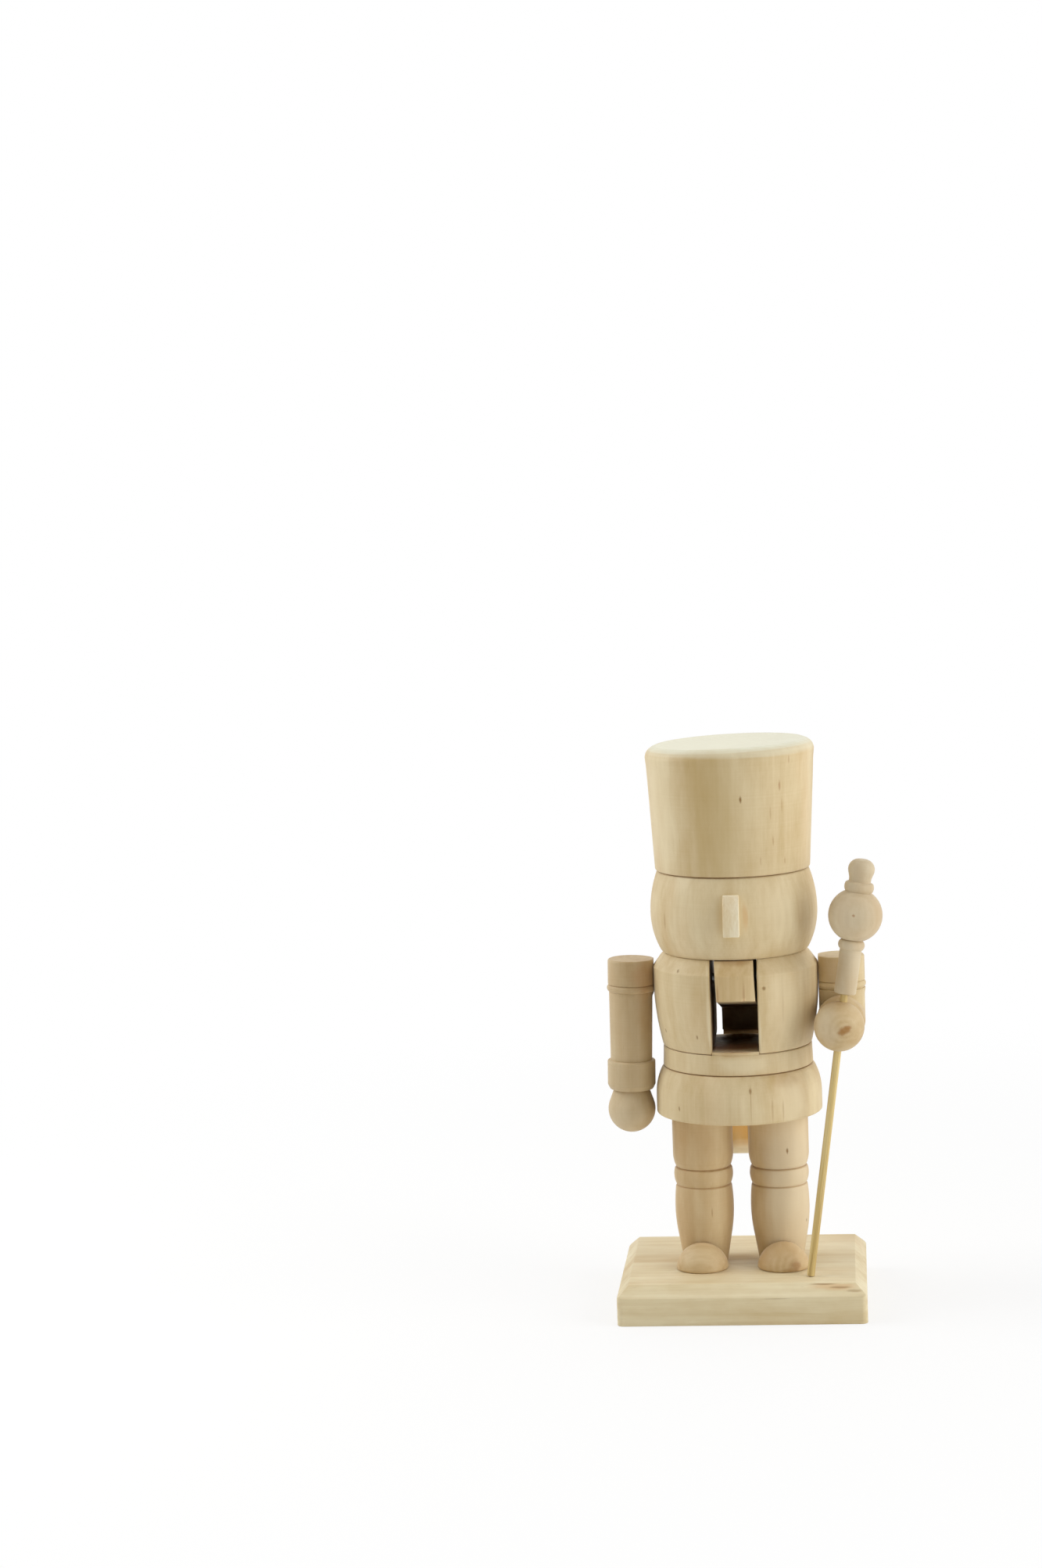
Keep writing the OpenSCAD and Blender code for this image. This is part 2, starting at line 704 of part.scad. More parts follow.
module right_arm() color("tan")
    difference() {
        translate([right_arm_x, 0, arm_top_z]) rotate([0, arm_splay, 0]) rotate_extrude() {
            sleeve_z = -cap_h - arm_ring_h;
            shoulder_outline();
            band(sleeve_z - sleeve_h, sleeve_z, sleeve_low_r, sleeve_r);
            translate([0, sleeve_z - sleeve_h]) hand_outline(cuff_h, hand_r);
        }
        translate([-chest_r - 2 * glue_gap, -2 * cap_r, 0]) cube([chest_r, 4 * cap_r, 2 * arm_top_z]);
        at_shoulder_peg(RIGHT) peg_hole(arm_peg_r, over, arm_peg_depth);
    }

module shoulder_peg(side) at_shoulder_peg(side) peg(arm_peg_r, arm_peg_depth, arm_peg_depth);

module right_shoulder_peg() color("wheat") shoulder_peg(RIGHT);
module left_shoulder_peg() color("wheat") shoulder_peg(LEFT);

// Frame of the elbow: -Y runs along the forearm
module at_elbow()
    translate([left_arm_x, 0, elbow_z]) rotate([0, 0, -forearm_swing]) children();

// Block under the mitre when side is -1, and over it when side is 1
module mitre_block(side) {
    block = 8 * cap_r;
    at_elbow() rotate([-45, 0, 0]) translate([0, 0, side * block / 2]) cube(block, center = true);
}

module at_elbow_peg() at_elbow() rotate([-45, 0, 0]) children();

module left_upper_arm() color("tan")
    difference() {
        translate([left_arm_x, 0, 0]) rotate_extrude() {
            sleeve_top = arm_top_z - cap_h - arm_ring_h;
            translate([0, arm_top_z]) shoulder_outline();
            band(elbow_z + sleeve_low_r, sleeve_top, sleeve_low_r, sleeve_r);
            band(elbow_z - 2 * sleeve_low_r, elbow_z + sleeve_low_r, sleeve_low_r, sleeve_low_r);
        }
        mitre_block(-1);
        at_shoulder_peg(LEFT) peg_hole(arm_peg_r, over, arm_peg_depth);
        at_elbow_peg() peg_hole(arm_peg_r, over, elbow_peg_depth);
    }

module elbow_peg() color("wheat")
    at_elbow_peg() peg(arm_peg_r, elbow_peg_depth, elbow_peg_depth);

module at_staff()
    translate(hand_pos + [rod_shift, 0, 0]) rotate([-staff_tip, staff_lean, 0]) children();

module left_forearm() color("tan")
    difference() {
        at_elbow() rotate([-90, 0, 0]) rotate_extrude() {
            band(-forearm_sleeve, 2 * sleeve_low_r, sleeve_low_r, sleeve_low_r);
            translate([0, -forearm_sleeve]) hand_outline(bent_cuff_h, bent_hand_r);
        }
        mitre_block(1);
        at_elbow_peg() peg_hole(arm_peg_r, elbow_peg_depth, over);
        at_staff() translate([0, 0, -2 * bent_hand_r])
            cylinder(r = rod_r + glue_gap, h = 4 * bent_hand_r);
    }

module staff_rod() color("goldenrod")
    at_staff() translate([0, 0, -rod_foot_s])
        cylinder(r = rod_r, h = rod_foot_s + ferrule_s + rod_seat - glue_gap);

module staff_head() color("tan")
    at_staff() translate([0, 0, ferrule_s])
        difference() {
            rotate([0, staff_head_lean, 0]) rotate_extrude() {
                band(0, seam, ferrule_r - seam, ferrule_r);
                band(seam, ferrule_h, ferrule_r, ferrule_r);
                bead(ferrule_h, ferrule_h + collar_h, ferrule_r, collar_r);
                band(ferrule_h + collar_h, orb_s, neck_r, neck_r);
                half_disc(orb_s, orb_r);
                bead(orb_ring_s, orb_ring_s + orb_ring_h, knob_r, orb_ring_r);
                swell(knob_s, orb_ring_s + orb_ring_h, knob_r, knob_foot_r);
                band(knob_s, knob_s + knob_edge, knob_r - knob_edge, knob_r - knob_edge);
                swell_edge(knob_s, knob_r, knob_edge);
            }
            translate([0, 0, -over]) cylinder(r = rod_r + glue_gap, h = rod_seat + over);
        }

plinth();
left_leg_screw();
right_leg_screw();
left_leg();
right_leg();
left_shoe();
right_shoe();
left_leg_peg();
right_leg_peg();
skirt();
waist_peg();
torso();
jaw_pin();
jaw_lever();
left_neck_peg();
right_neck_peg();
head();
nose();
hat_peg();
hat();
right_arm();
right_shoulder_peg();
left_upper_arm();
left_shoulder_peg();
elbow_peg();
left_forearm();
staff_rod();
staff_head();
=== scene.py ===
"""Looks of an unpainted turned-wood nutcracker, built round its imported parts. +Z is up.

Parts, outlines and marks are in millimetres, and become metres where a mesh is made. The camera, the lamps
and the white of the floor are in metres.
"""

import math

import bmesh
import bpy
import numpy as np
from mathutils import Matrix, Vector
from mathutils.bvhtree import BVHTree


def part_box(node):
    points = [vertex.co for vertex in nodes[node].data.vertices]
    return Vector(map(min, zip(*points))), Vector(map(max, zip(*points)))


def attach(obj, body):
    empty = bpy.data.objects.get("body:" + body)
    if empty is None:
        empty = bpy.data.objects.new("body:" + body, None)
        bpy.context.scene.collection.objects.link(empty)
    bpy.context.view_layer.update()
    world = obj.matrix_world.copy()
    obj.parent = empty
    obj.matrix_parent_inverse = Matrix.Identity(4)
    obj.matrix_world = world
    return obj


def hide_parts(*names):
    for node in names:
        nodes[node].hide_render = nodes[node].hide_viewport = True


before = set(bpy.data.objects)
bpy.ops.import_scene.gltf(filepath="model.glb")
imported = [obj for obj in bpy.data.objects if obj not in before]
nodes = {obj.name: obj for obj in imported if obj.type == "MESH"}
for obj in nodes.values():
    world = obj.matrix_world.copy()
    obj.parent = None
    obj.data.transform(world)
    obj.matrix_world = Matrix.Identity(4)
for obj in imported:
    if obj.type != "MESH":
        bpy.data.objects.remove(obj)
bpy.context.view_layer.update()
MM = 0.001

# Camera, from the photograph's viewing angle, with its framing in the photograph's own pixels
PHOTO_W = 1333
PHOTO_H = 2005
FOCAL_PX = 4475.2
SENSOR_MM = 36.0
CAMERA_AZIMUTH = math.radians(2.02)
CAMERA_ELEVATION = math.radians(10.36)
CAMERA_ROLL = math.radians(-1.72)
CAMERA_DISTANCE = 1.1125
CAMERA_TARGET = Vector((0.0, 0.0, 0.0910))
TARGET_PIXEL = (942.8, 1298.9)


def add_camera():
    """Camera that sees the target at its pixel, rolled about the line to it."""
    azimuth, elevation = CAMERA_AZIMUTH, CAMERA_ELEVATION
    back = Vector((math.sin(azimuth) * math.cos(elevation),
                   -math.cos(azimuth) * math.cos(elevation), math.sin(elevation)))
    level = (-back).cross(Vector((0, 0, 1))).normalized()
    upright = level.cross(-back)
    right = math.cos(CAMERA_ROLL) * level + math.sin(CAMERA_ROLL) * upright
    up = -math.sin(CAMERA_ROLL) * level + math.cos(CAMERA_ROLL) * upright
    aim = Matrix((right, up, back)).transposed()
    across = (TARGET_PIXEL[0] - PHOTO_W / 2) / FOCAL_PX
    above = -(TARGET_PIXEL[1] - PHOTO_H / 2) / FOCAL_PX
    yaw = math.atan(across)
    pitch = math.atan2(above, math.hypot(across, 1))
    turn = Matrix.Rotation(-yaw, 3, "Y") @ Matrix.Rotation(pitch, 3, "X")
    data = bpy.data.cameras.new("camera")
    data.sensor_width = SENSOR_MM
    data.lens = SENSOR_MM * FOCAL_PX / PHOTO_H
    data.clip_start = 0.05
    camera = bpy.data.objects.new("camera", data)
    place = CAMERA_TARGET + back * CAMERA_DISTANCE
    camera.matrix_world = Matrix.Translation(place) @ (aim @ turn.transposed()).to_4x4()
    bpy.context.scene.collection.objects.link(camera)
    bpy.context.scene.camera = camera


def srgb(red, green, blue):
    """Linear colour of an sRGB colour given in steps from 0 to 255."""
    def linear(step):
        share = step / 255
        return share / 12.92 if share <= 0.04045 else ((share + 0.055) / 1.055) ** 2.4
    return (linear(red), linear(green), linear(blue), 1.0)


WHITE = (1.0, 1.0, 1.0, 1.0)
FLOOR_TONE = (0.9, 0.9, 0.89, 1.0)
# Tones of the woods, pale and tan
PALE = srgb(224, 207, 168)
TAN = srgb(192, 165, 114)
LEG_PALE = srgb(216, 193, 150)
LEG_TAN = srgb(188, 155, 105)
ARM_PALE = srgb(208, 189, 152)
ARM_TAN = srgb(180, 153, 109)
HAND_PALE = srgb(212, 191, 149)
HAND_TAN = srgb(182, 151, 103)
JAW_PALE = srgb(220, 199, 155)
JAW_TAN = srgb(190, 159, 106)
STAFF_PALE = srgb(212, 197, 166)
STAFF_TAN = srgb(184, 161, 124)
NOSE_PALE = srgb(243, 236, 212)
NOSE_TAN = srgb(220, 200, 158)
PLINTH_PALE = srgb(231, 219, 184)
PLINTH_TAN = srgb(202, 178, 128)
CROWN_TONES = (srgb(228, 230, 213), srgb(219, 218, 194))
# Warm patches and pores of every wood
WARM = srgb(206, 160, 100)
PORE = srgb(128, 92, 54)
# Marks: small ones, broad pale ones, most of them painted light, broad painted shade, and the sawn slot with
# its painted shade
FLECK = srgb(130, 90, 40)
BROWN = srgb(160, 116, 64)
RUST = srgb(158, 100, 46)
CRACK = srgb(138, 92, 38)
# Painted highlight for the lit sides of parts and the slot's eased edges
HIGHLIGHT = srgb(236, 222, 186)
# Paler wood and painted light, for the lit sides of the limbs
LIMB_PALE_AND_LIGHT = srgb(228, 212, 180)
HAT_RIM = srgb(228, 224, 198)
HAT_SHADE = srgb(190, 164, 108)
ARM_SHADE = srgb(172, 122, 66)
CAP_SHADE = srgb(176, 128, 74)
SLOT_FLOOR = srgb(172, 122, 70)
# Sawn wood darkened further with painted shade, inside the slot and on the lever there
SAWN_AND_SHADE = srgb(108, 75, 48)
# Painted shade for the crevice between the lever's tail and the back of the torso
CREVICE_SHADE = srgb(58, 38, 22)
AMBER = srgb(236, 187, 106)
# Bamboo and steel
BAMBOO_PALE = srgb(222, 200, 140)
BAMBOO_GOLD = srgb(202, 174, 106)
BAMBOO_FIBRE = srgb(150, 112, 52)
STEEL_GREY = srgb(150, 152, 154)
STEEL_LIGHT = srgb(196, 197, 196)


class Shader:
    """A node tree and ways to add to it. From math on, each method returns an output socket."""

    def __init__(self, tree):
        self.tree = tree
        tree.nodes.clear()

    def node(self, kind, **settings):
        made = self.tree.nodes.new(kind)
        for name, value in settings.items():
            setattr(made, name, value)
        return made

    def plug(self, socket, value):
        if isinstance(value, bpy.types.NodeSocket):
            self.tree.links.new(value, socket)
        else:
            socket.default_value = value

    def show(self, surface, kind="ShaderNodeOutputMaterial"):
        output = self.node(kind)
        self.plug(output.inputs["Surface"], surface.outputs[0])

    def surface(self, colour, roughness, normal):
        """The node of a principled surface that the tree shows."""
        made = self.node("ShaderNodeBsdfPrincipled")
        self.plug(made.inputs["Base Color"], colour)
        self.plug(made.inputs["Roughness"], roughness)
        self.plug(made.inputs["Normal"], normal)
        self.show(made)
        return made

    def blend(self, share, a, b):
        """The node of a blend of two surfaces' nodes."""
        made = self.node("ShaderNodeMixShader")
        self.plug(made.inputs[0], share)
        self.plug(made.inputs[1], a.outputs[0])
        self.plug(made.inputs[2], b.outputs[0])
        return made

    def math(self, operation, a, b=0.0, c=0.0):
        made = self.node("ShaderNodeMath", operation=operation)
        for socket, value in zip(made.inputs, (a, b, c)):
            self.plug(socket, value)
        return made.outputs[0]

    def vector(self, operation, a, b=(0, 0, 0), c=(0, 0, 0)):
        made = self.node("ShaderNodeVectorMath", operation=operation)
        for socket, value in zip(made.inputs, (a, b, c)):
            self.plug(socket, value)
        return made.outputs["Value" if operation in ("LENGTH", "DOT_PRODUCT") else "Vector"]

    def mix(self, share, a, b):
        made = self.node("ShaderNodeMix", data_type="RGBA")
        self.plug(made.inputs[0], share)
        self.plug(made.inputs[6], a)
        self.plug(made.inputs[7], b)
        return made.outputs[2]

    def step(self, value, low, high, start=0.0, end=1.0):
        """Smooth step of value from start at low to end at high."""
        made = self.node("ShaderNodeMapRange", interpolation_type="SMOOTHSTEP")
        for socket, number in zip(made.inputs, (value, low, high, start, end)):
            self.plug(socket, number)
        return made.outputs[0]

    def noise(self, at, cells, detail=3.0, roughness=0.5, output=0):
        """Noise with so many cells to a unit of length in X, Y and Z. Output 1 is a vector of three."""
        made = self.node("ShaderNodeTexNoise")
        self.plug(made.inputs["Vector"], self.vector("MULTIPLY", at, cells))
        made.inputs["Scale"].default_value = 1.0
        made.inputs["Detail"].default_value = detail
        made.inputs["Roughness"].default_value = roughness
        return made.outputs[output]

    def ripple(self, at, cells):
        """Noise along one direction."""
        made = self.node("ShaderNodeTexNoise", noise_dimensions="1D")
        self.plug(made.inputs["W"], at)
        made.inputs["Scale"].default_value = cells
        made.inputs["Detail"].default_value = 3.0
        return made.outputs[0]

    def place(self):
        """Place on the part, in millimetres."""
        here = self.node("ShaderNodeTexCoord").outputs["Object"]
        return self.vector("MULTIPLY", here, (1 / MM, 1 / MM, 1 / MM))

    def leaning(self, value, lean):
        """Vector as it is in a frame that leans by Euler angles in degrees."""
        made = self.node("ShaderNodeMapping", vector_type="TEXTURE")
        self.plug(made.inputs["Vector"], value)
        made.inputs["Rotation"].default_value = [math.radians(angle) for angle in lean]
        return made.outputs[0]

    def bump(self, height, strength, depth):
        made = self.node("ShaderNodeBump")
        made.inputs["Strength"].default_value = strength
        made.inputs["Distance"].default_value = depth * MM
        self.plug(made.inputs["Height"], height)
        return made.outputs[0]

    def brightness(self, colour):
        made = self.node("ShaderNodeRGBToBW")
        self.plug(made.inputs[0], colour)
        return made.outputs[0]


def new_material(name):
    """A material, and the shader of its empty node tree."""
    material = bpy.data.materials.new(name)
    material.use_nodes = True
    return material, Shader(material.node_tree)


# Cells of noise to a millimetre, with Z along a wood's grain. A spot's are to its own radius
SWAY_CELLS = (0.03, 0.03, 0.015)
BAND_CELLS = (0.09, 0.09, 0.006)
STREAK_CELLS = (0.5, 0.5, 0.014)
FIBRE_CELLS = (3.2, 3.2, 0.06)
CLOUD_CELLS = (0.11, 0.11, 0.05)
PATCH_CELLS = (0.07, 0.07, 0.02)
PORE_CELLS = (1.3, 1.3, 0.16)
SPOT_CELLS = (1.5, 1.5, 1.5)
LATHE_CELLS = 1.6
BUNDLE_CELLS = (2.4, 2.4, 0.02)
FADE_CELLS = (0.6, 0.6, 0.03)
BLOOM_CELLS = (0.9, 0.9, 0.9)
SCRATCH_CELLS = (0.3, 6.0, 6.0)
# Millimetres that the grain of a wood sways, and how strongly the parts of its figure show
SWAY = 4.0
BANDS = 1.5
CLOUDS = 1.1
LATHE_TONE = 0.144
LATHE_HEIGHT = 0.48
WARMTH = 0.15
RING_TONE = 0.22
RING_STREAK = 1.2
END_TONE = 0.45
PORES = 0.16
PORE_DEPTH = 0.8
# Values at which warm patches, end grain, pores and sanding begin and are full
WARM_STEP = (0.48, 0.72)
END_STEP = (0.6, 0.97)
PICKED_STEP = (0.66, 0.7)
PIT_STEP = (0.14, 0.04)
SANDED_STEP = (0.12, 0.35)
# Surface of sanded wood: roughness and how much it varies, bump, sheen and gloss
WOOD_ROUGHNESS = 0.48
WOOD_VARIES = 0.2
WOOD_BUMP = 0.3
BUMP_DEPTH = 0.08
SHEEN = 0.12
SHEEN_ROUGHNESS = 0.45
GLOSS = 0.45


def blotch(shader, at, place, size):
    """Mask of a ragged spot with radii size round place, both in millimetres."""
    ragged, core = 0.8, 0.3
    share = shader.vector("DIVIDE", shader.vector("SUBTRACT", at, place), size)
    frayed = shader.noise(share, SPOT_CELLS)
    reach = shader.math("MULTIPLY_ADD", frayed, ragged, shader.vector("LENGTH", share))
    return shader.step(reach, 1.0 + ragged / 2, core + ragged / 2)


def wood(name, pale, tan, lean=(0, 0, 0), shift=0.0, pith=(34, 22), ring=2.2, streak=0.6, fibre=0.182,
         turning=(0, 0, 1), end=0.8, end_tones=None, marks=()):
    """Solid wood with bands, streaks, fibres and pores along its grain and growth rings across it.

    The grain runs along Z of a frame that leans by the Euler angles lean (degrees), pith is where its rings
    are centred and ring the distance between them. Shift moves the figure, so that parts differ. Streak,
    fibre and end say how strongly streaks, fibres and end grain show. Lathe lines lie across the direction
    of turning, which is None for a part that isn't turned. Marks are spots in the part's own millimetres:
    (place, size, colour, strength).
    """
    material, shader = new_material(name)
    where = shader.place()
    grain = shader.vector("ADD", shader.leaning(where, lean), (shift, shift, shift))
    sway = shader.noise(grain, SWAY_CELLS, detail=2.0, output=1)
    drift = shader.vector("SUBTRACT", sway, (0.5, 0.5, 0.5))
    swayed = shader.vector("MULTIPLY_ADD", drift, (SWAY, SWAY, 0.0), grain)

    broad = shader.noise(swayed, BAND_CELLS, detail=2.0)
    narrow = shader.noise(swayed, STREAK_CELLS, detail=4.0, roughness=0.6)
    fibres = shader.noise(swayed, FIBRE_CELLS, roughness=0.6)
    clouds = shader.noise(grain, CLOUD_CELLS, detail=4.0, roughness=0.6)
    patches = shader.noise(swayed, PATCH_CELLS, detail=2.0)
    tool_lines = shader.ripple(shader.vector("DOT_PRODUCT", where, turning), LATHE_CELLS) if turning else None

    def centred(value, depth):
        return shader.math("MULTIPLY", shader.math("SUBTRACT", value, 0.5), depth)

    figure = [(broad, BANDS), (narrow, streak), (fibres, fibre), (clouds, CLOUDS)]
    if turning:
        figure.append((tool_lines, LATHE_TONE))
    share = 0.5
    for value, depth in figure:
        share = shader.math("ADD", share, centred(value, depth))
    colour = shader.mix(share, pale, tan)
    colour = shader.mix(shader.step(patches, *WARM_STEP, 0.0, WARMTH), colour, WARM)

    flat = shader.vector("SUBTRACT", swayed, (pith[0] + shift, pith[1] + shift, 0.0))
    radius = shader.vector("LENGTH", shader.vector("MULTIPLY", flat, (1, 1, 0)))
    rings = shader.math("SINE", shader.math("MULTIPLY", radius, 2 * math.pi / ring))
    ring_share = shader.math("MULTIPLY_ADD", rings, RING_TONE, centred(narrow, RING_STREAK))
    end_colour = shader.mix(shader.math("ADD", ring_share, END_TONE), *(end_tones or (pale, tan)))
    normal = shader.leaning(shader.node("ShaderNodeTexCoord").outputs["Normal"], lean)
    upright = shader.math("ABSOLUTE", shader.vector("DOT_PRODUCT", normal, (0, 0, 1)))
    colour = shader.mix(shader.step(upright, *END_STEP, 0.0, end), colour, end_colour)

    cells = shader.node("ShaderNodeTexVoronoi")
    shader.plug(cells.inputs["Vector"], shader.vector("MULTIPLY", swayed, PORE_CELLS))
    cells.inputs["Scale"].default_value = 1.0
    picked = shader.step(cells.outputs["Color"], *PICKED_STEP)
    pits = shader.math("MULTIPLY", picked, shader.step(cells.outputs["Distance"], *PIT_STEP))
    colour = shader.mix(shader.math("MULTIPLY", pits, PORES), colour, PORE)
    for place, size, tone, strength in marks:
        spot = blotch(shader, where, place, size)
        colour = shader.mix(shader.math("MULTIPLY", spot, strength), colour, tone)

    height = shader.math("SUBTRACT", fibres, shader.math("MULTIPLY", pits, PORE_DEPTH))
    if turning:
        height = shader.math("MULTIPLY_ADD", tool_lines, LATHE_HEIGHT, height)
    roughness = shader.math("MULTIPLY_ADD", fibres, WOOD_VARIES, WOOD_ROUGHNESS)
    surface = shader.surface(colour, roughness, shader.bump(height, WOOD_BUMP, BUMP_DEPTH))
    # Dark spots, both rough torn wood and painted shade, are without the sheen and gloss of the sanded wood
    sanded = shader.step(shader.brightness(colour), *SANDED_STEP)
    shader.plug(surface.inputs["Sheen Weight"], shader.math("MULTIPLY", sanded, SHEEN))
    shader.plug(surface.inputs["Specular IOR Level"], shader.math("MULTIPLY", sanded, GLOSS))
    surface.inputs["Sheen Roughness"].default_value = SHEEN_ROUGHNESS
    return material


def bamboo(name, lean):
    """Split bamboo: golden wood with dark fibre bundles along it."""
    fade_step, bundle_step, bundle_tone = (0.3, 0.7), (0.5, 0.68), 0.75
    smoothest, varies, strength = 0.35, 0.3, 0.5
    material, shader = new_material(name)
    grain = shader.leaning(shader.place(), lean)
    bundles = shader.noise(grain, BUNDLE_CELLS, roughness=0.65)
    fade = shader.noise(grain, FADE_CELLS, detail=2.0)
    colour = shader.mix(shader.step(fade, *fade_step), BAMBOO_PALE, BAMBOO_GOLD)
    colour = shader.mix(shader.step(bundles, *bundle_step, 0.0, bundle_tone), colour, BAMBOO_FIBRE)
    roughness = shader.math("MULTIPLY_ADD", bundles, varies, smoothest)
    shader.surface(colour, roughness, shader.bump(bundles, strength, BUMP_DEPTH))
    return material


def steel(name):
    """Zinc-plated steel with a brushed bloom."""
    smoothest, varies, strength, depth = 0.25, 0.25, 0.2, 0.02
    material, shader = new_material(name)
    where = shader.place()
    bloom = shader.noise(where, BLOOM_CELLS, detail=4.0)
    scratches = shader.noise(where, SCRATCH_CELLS, detail=2.0)
    colour = shader.mix(bloom, STEEL_GREY, STEEL_LIGHT)
    roughness = shader.math("MULTIPLY_ADD", bloom, varies, smoothest)
    surface = shader.surface(colour, roughness, shader.bump(scratches, strength, depth))
    surface.inputs["Metallic"].default_value = 1.0
    return material


class Axis:
    """Turning axis: a point on it, its direction, and the side on which a turned part's outline is read."""

    def __init__(self, origin, along, out):
        self.origin = Vector(origin)
        self.along = Vector(along).normalized()
        self.out = (Vector(out) - Vector(out).project(self.along)).normalized()
        self.side = self.along.cross(self.out)

    def at(self, height):
        return self.origin + self.along * height


# Reading an outline: samples along the axis, and a distance that is outside every part
SAMPLES = 2400
FAR_OUT = 120.0
# Spacing of the points of an outline while it is smoothed, and the error and spacing left in a finished one
FINE_STEP = 0.05
OUTLINE_ERROR = 0.004
LONGEST_STEP = 2.0
# Radius under which a ring of points is one point on the axis
POLE_R = 0.01
# Points round a turned part
BIG_SEGMENTS = 192
SMALL_SEGMENTS = 128


def read_outline(node, axis):
    """Outer outline of a turned node, as rows of (height along the axis, radius), from end to end."""
    mesh = nodes[node].data
    points = [vertex.co / MM for vertex in mesh.vertices]
    tree = BVHTree.FromPolygons(points, [tuple(face.vertices) for face in mesh.polygons])
    heights = [(point - axis.origin).dot(axis.along) for point in points]
    middle = (min(heights) + max(heights)) / 2
    half = (max(heights) - min(heights)) / 2
    line = []
    for i in range(1, SAMPLES):
        height = middle - half * math.cos(math.pi * i / SAMPLES)
        hit = tree.ray_cast(axis.at(height) + axis.out * FAR_OUT, -axis.out)[0]
        if hit is not None:
            line.append((height, (hit - axis.origin).dot(axis.out)))
    return np.array(line)


def closed_outline(line, hollow):
    """Outline carried to the axis at both ends, with end faces that are turned slightly hollow."""
    lip = 0.5
    low, low_r = line[0]
    high, high_r = line[-1]
    start = [(low + hollow, 0.0), (low + hollow, low_r - lip)] if low_r > 2 * lip else [(low, 0.0)]
    end = [(high - hollow, high_r - lip), (high - hollow, 0.0)] if high_r > 2 * lip else [(high, 0.0)]
    return np.concatenate([start, line, end])


def evenly_spaced(line, step):
    """The same line with points at an even distance along it."""
    fewest = 8
    run = np.concatenate([[0], np.cumsum(np.hypot(*np.diff(line, axis=0).T))])
    stops = np.linspace(0, run[-1], max(fewest, int(run[-1] / step)) + 1)
    return np.stack([np.interp(stops, run, line[:, k]) for k in (0, 1)], axis=1)


def blurred(line, blur):
    """Evenly spaced outline, its corners rounded over about the length blur. Its ends stay on the axis."""
    widths = 4
    reach = int(widths * blur / FINE_STEP) + 1
    kernel = np.exp(-0.5 * (np.arange(-reach, reach + 1) * FINE_STEP / blur) ** 2)
    kernel /= kernel.sum()
    mirror = np.array([1.0, -1.0])
    padded = np.concatenate([line[reach:0:-1] * mirror, line, line[-2:-reach - 2:-1] * mirror])
    smooth = np.stack([np.convolve(padded[:, k], kernel, "valid") for k in (0, 1)], axis=1)
    smooth[[0, -1], 1] = 0.0
    return smooth


def thinned(line):
    """Fewest points of a line that stay within OUTLINE_ERROR of it, none further apart than LONGEST_STEP."""
    no_length = 1e-9
    keep = {0, len(line) - 1}
    spans = [(0, len(line) - 1)]
    while spans:
        first, last = spans.pop()
        if last - first < 2:
            continue
        chord = line[last] - line[first]
        length = np.hypot(*chord)
        apart = line[first + 1:last] - line[first]
        off = np.abs(apart[:, 0] * chord[1] - apart[:, 1] * chord[0]) / max(length, no_length)
        worst = first + 1 + int(off.argmax())
        if off.max() > OUTLINE_ERROR or length > LONGEST_STEP:
            if off.max() <= OUTLINE_ERROR:
                worst = (first + last) // 2
            keep.add(worst)
            spans += [(first, worst), (worst, last)]
    return line[sorted(keep)]


def turned_outline(node, axis, blur=0.16, hollow=0.1, lines=(), below=0.0, above=0.0, crown=(), join=0.1,
                   full=None):
    """Finished outline of a turned node: its edges eased, with fine lines cut in at (height, depth, width).

    Below and above are lengths that are added to its ends, for a part that is cut on a slant afterwards.
    Crown is rows that take the place of the outline above the first of them, and join the length of straight
    side that leads up to them. Full is two heights and how many times as thick the part is between them.
    """
    line = read_outline(node, axis)
    if crown:
        line = np.concatenate([line[line[:, 0] < crown[0][0] - join], crown])
    if full:
        between = (line[:, 0] > full[0]) & (line[:, 0] < full[1])
        line[between, 1] *= full[2]
    line[0, 0] -= below
    line[-1, 0] += above
    line = blurred(evenly_spaced(closed_outline(line, hollow), FINE_STEP), blur)
    for height, depth, width in lines:
        cut = depth * np.exp(-((line[:, 0] - height) / width) ** 2)
        thick_enough = line[:, 1] > 4 * depth
        line[:, 1] -= np.where(thick_enough, cut, 0.0)
    return thinned(line)


def revolved(line, axis, segments):
    """Points and faces of an outline turned about its axis. A row of no radius is one point."""
    points, rings, faces = [], [], []
    for height, radius in line:
        centre = axis.at(height)
        first = len(points)
        if radius < POLE_R:
            points.append(centre)
        else:
            for k in range(segments):
                angle = 2 * math.pi * k / segments
                points.append(centre + axis.out * (radius * math.cos(angle))
                              + axis.side * (radius * math.sin(angle)))
        rings.append(range(first, len(points)))
    for low, high in zip(rings, rings[1:]):
        for k in range(segments):
            n = (k + 1) % segments
            corners = (low[k % len(low)], low[n % len(low)], high[n % len(high)], high[k % len(high)])
            faces.append(tuple(dict.fromkeys(corners)))
    return points, faces


def in_scene(name, mesh, material):
    """Smooth-shaded piece of a mesh."""
    mesh.polygons.foreach_set("use_smooth", [True] * len(mesh.polygons))
    mesh.materials.append(material)
    piece = bpy.data.objects.new(name, mesh)
    bpy.context.scene.collection.objects.link(piece)
    return piece


def new_piece(name, points, faces, material):
    """Piece from points in millimetres."""
    mesh = bpy.data.meshes.new(name)
    mesh.from_pydata([tuple(c * MM for c in point) for point in points], [], faces)
    return in_scene(name, mesh, material)


def piece_from(work, name, material):
    """Piece from a bmesh in metres, which is freed."""
    mesh = bpy.data.meshes.new(name)
    work.to_mesh(mesh)
    work.free()
    return in_scene(name, mesh, material)


def stand_for(piece, node, body="figure"):
    """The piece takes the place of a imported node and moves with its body."""
    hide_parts(node)
    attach(piece, body)
    return piece


def turned(node, axis, material, segments=SMALL_SEGMENTS, **finish):
    """A turned part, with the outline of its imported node."""
    points, faces = revolved(turned_outline(node, axis, **finish), axis, segments)
    return stand_for(new_piece(node + "_turned", points, faces, material), node)


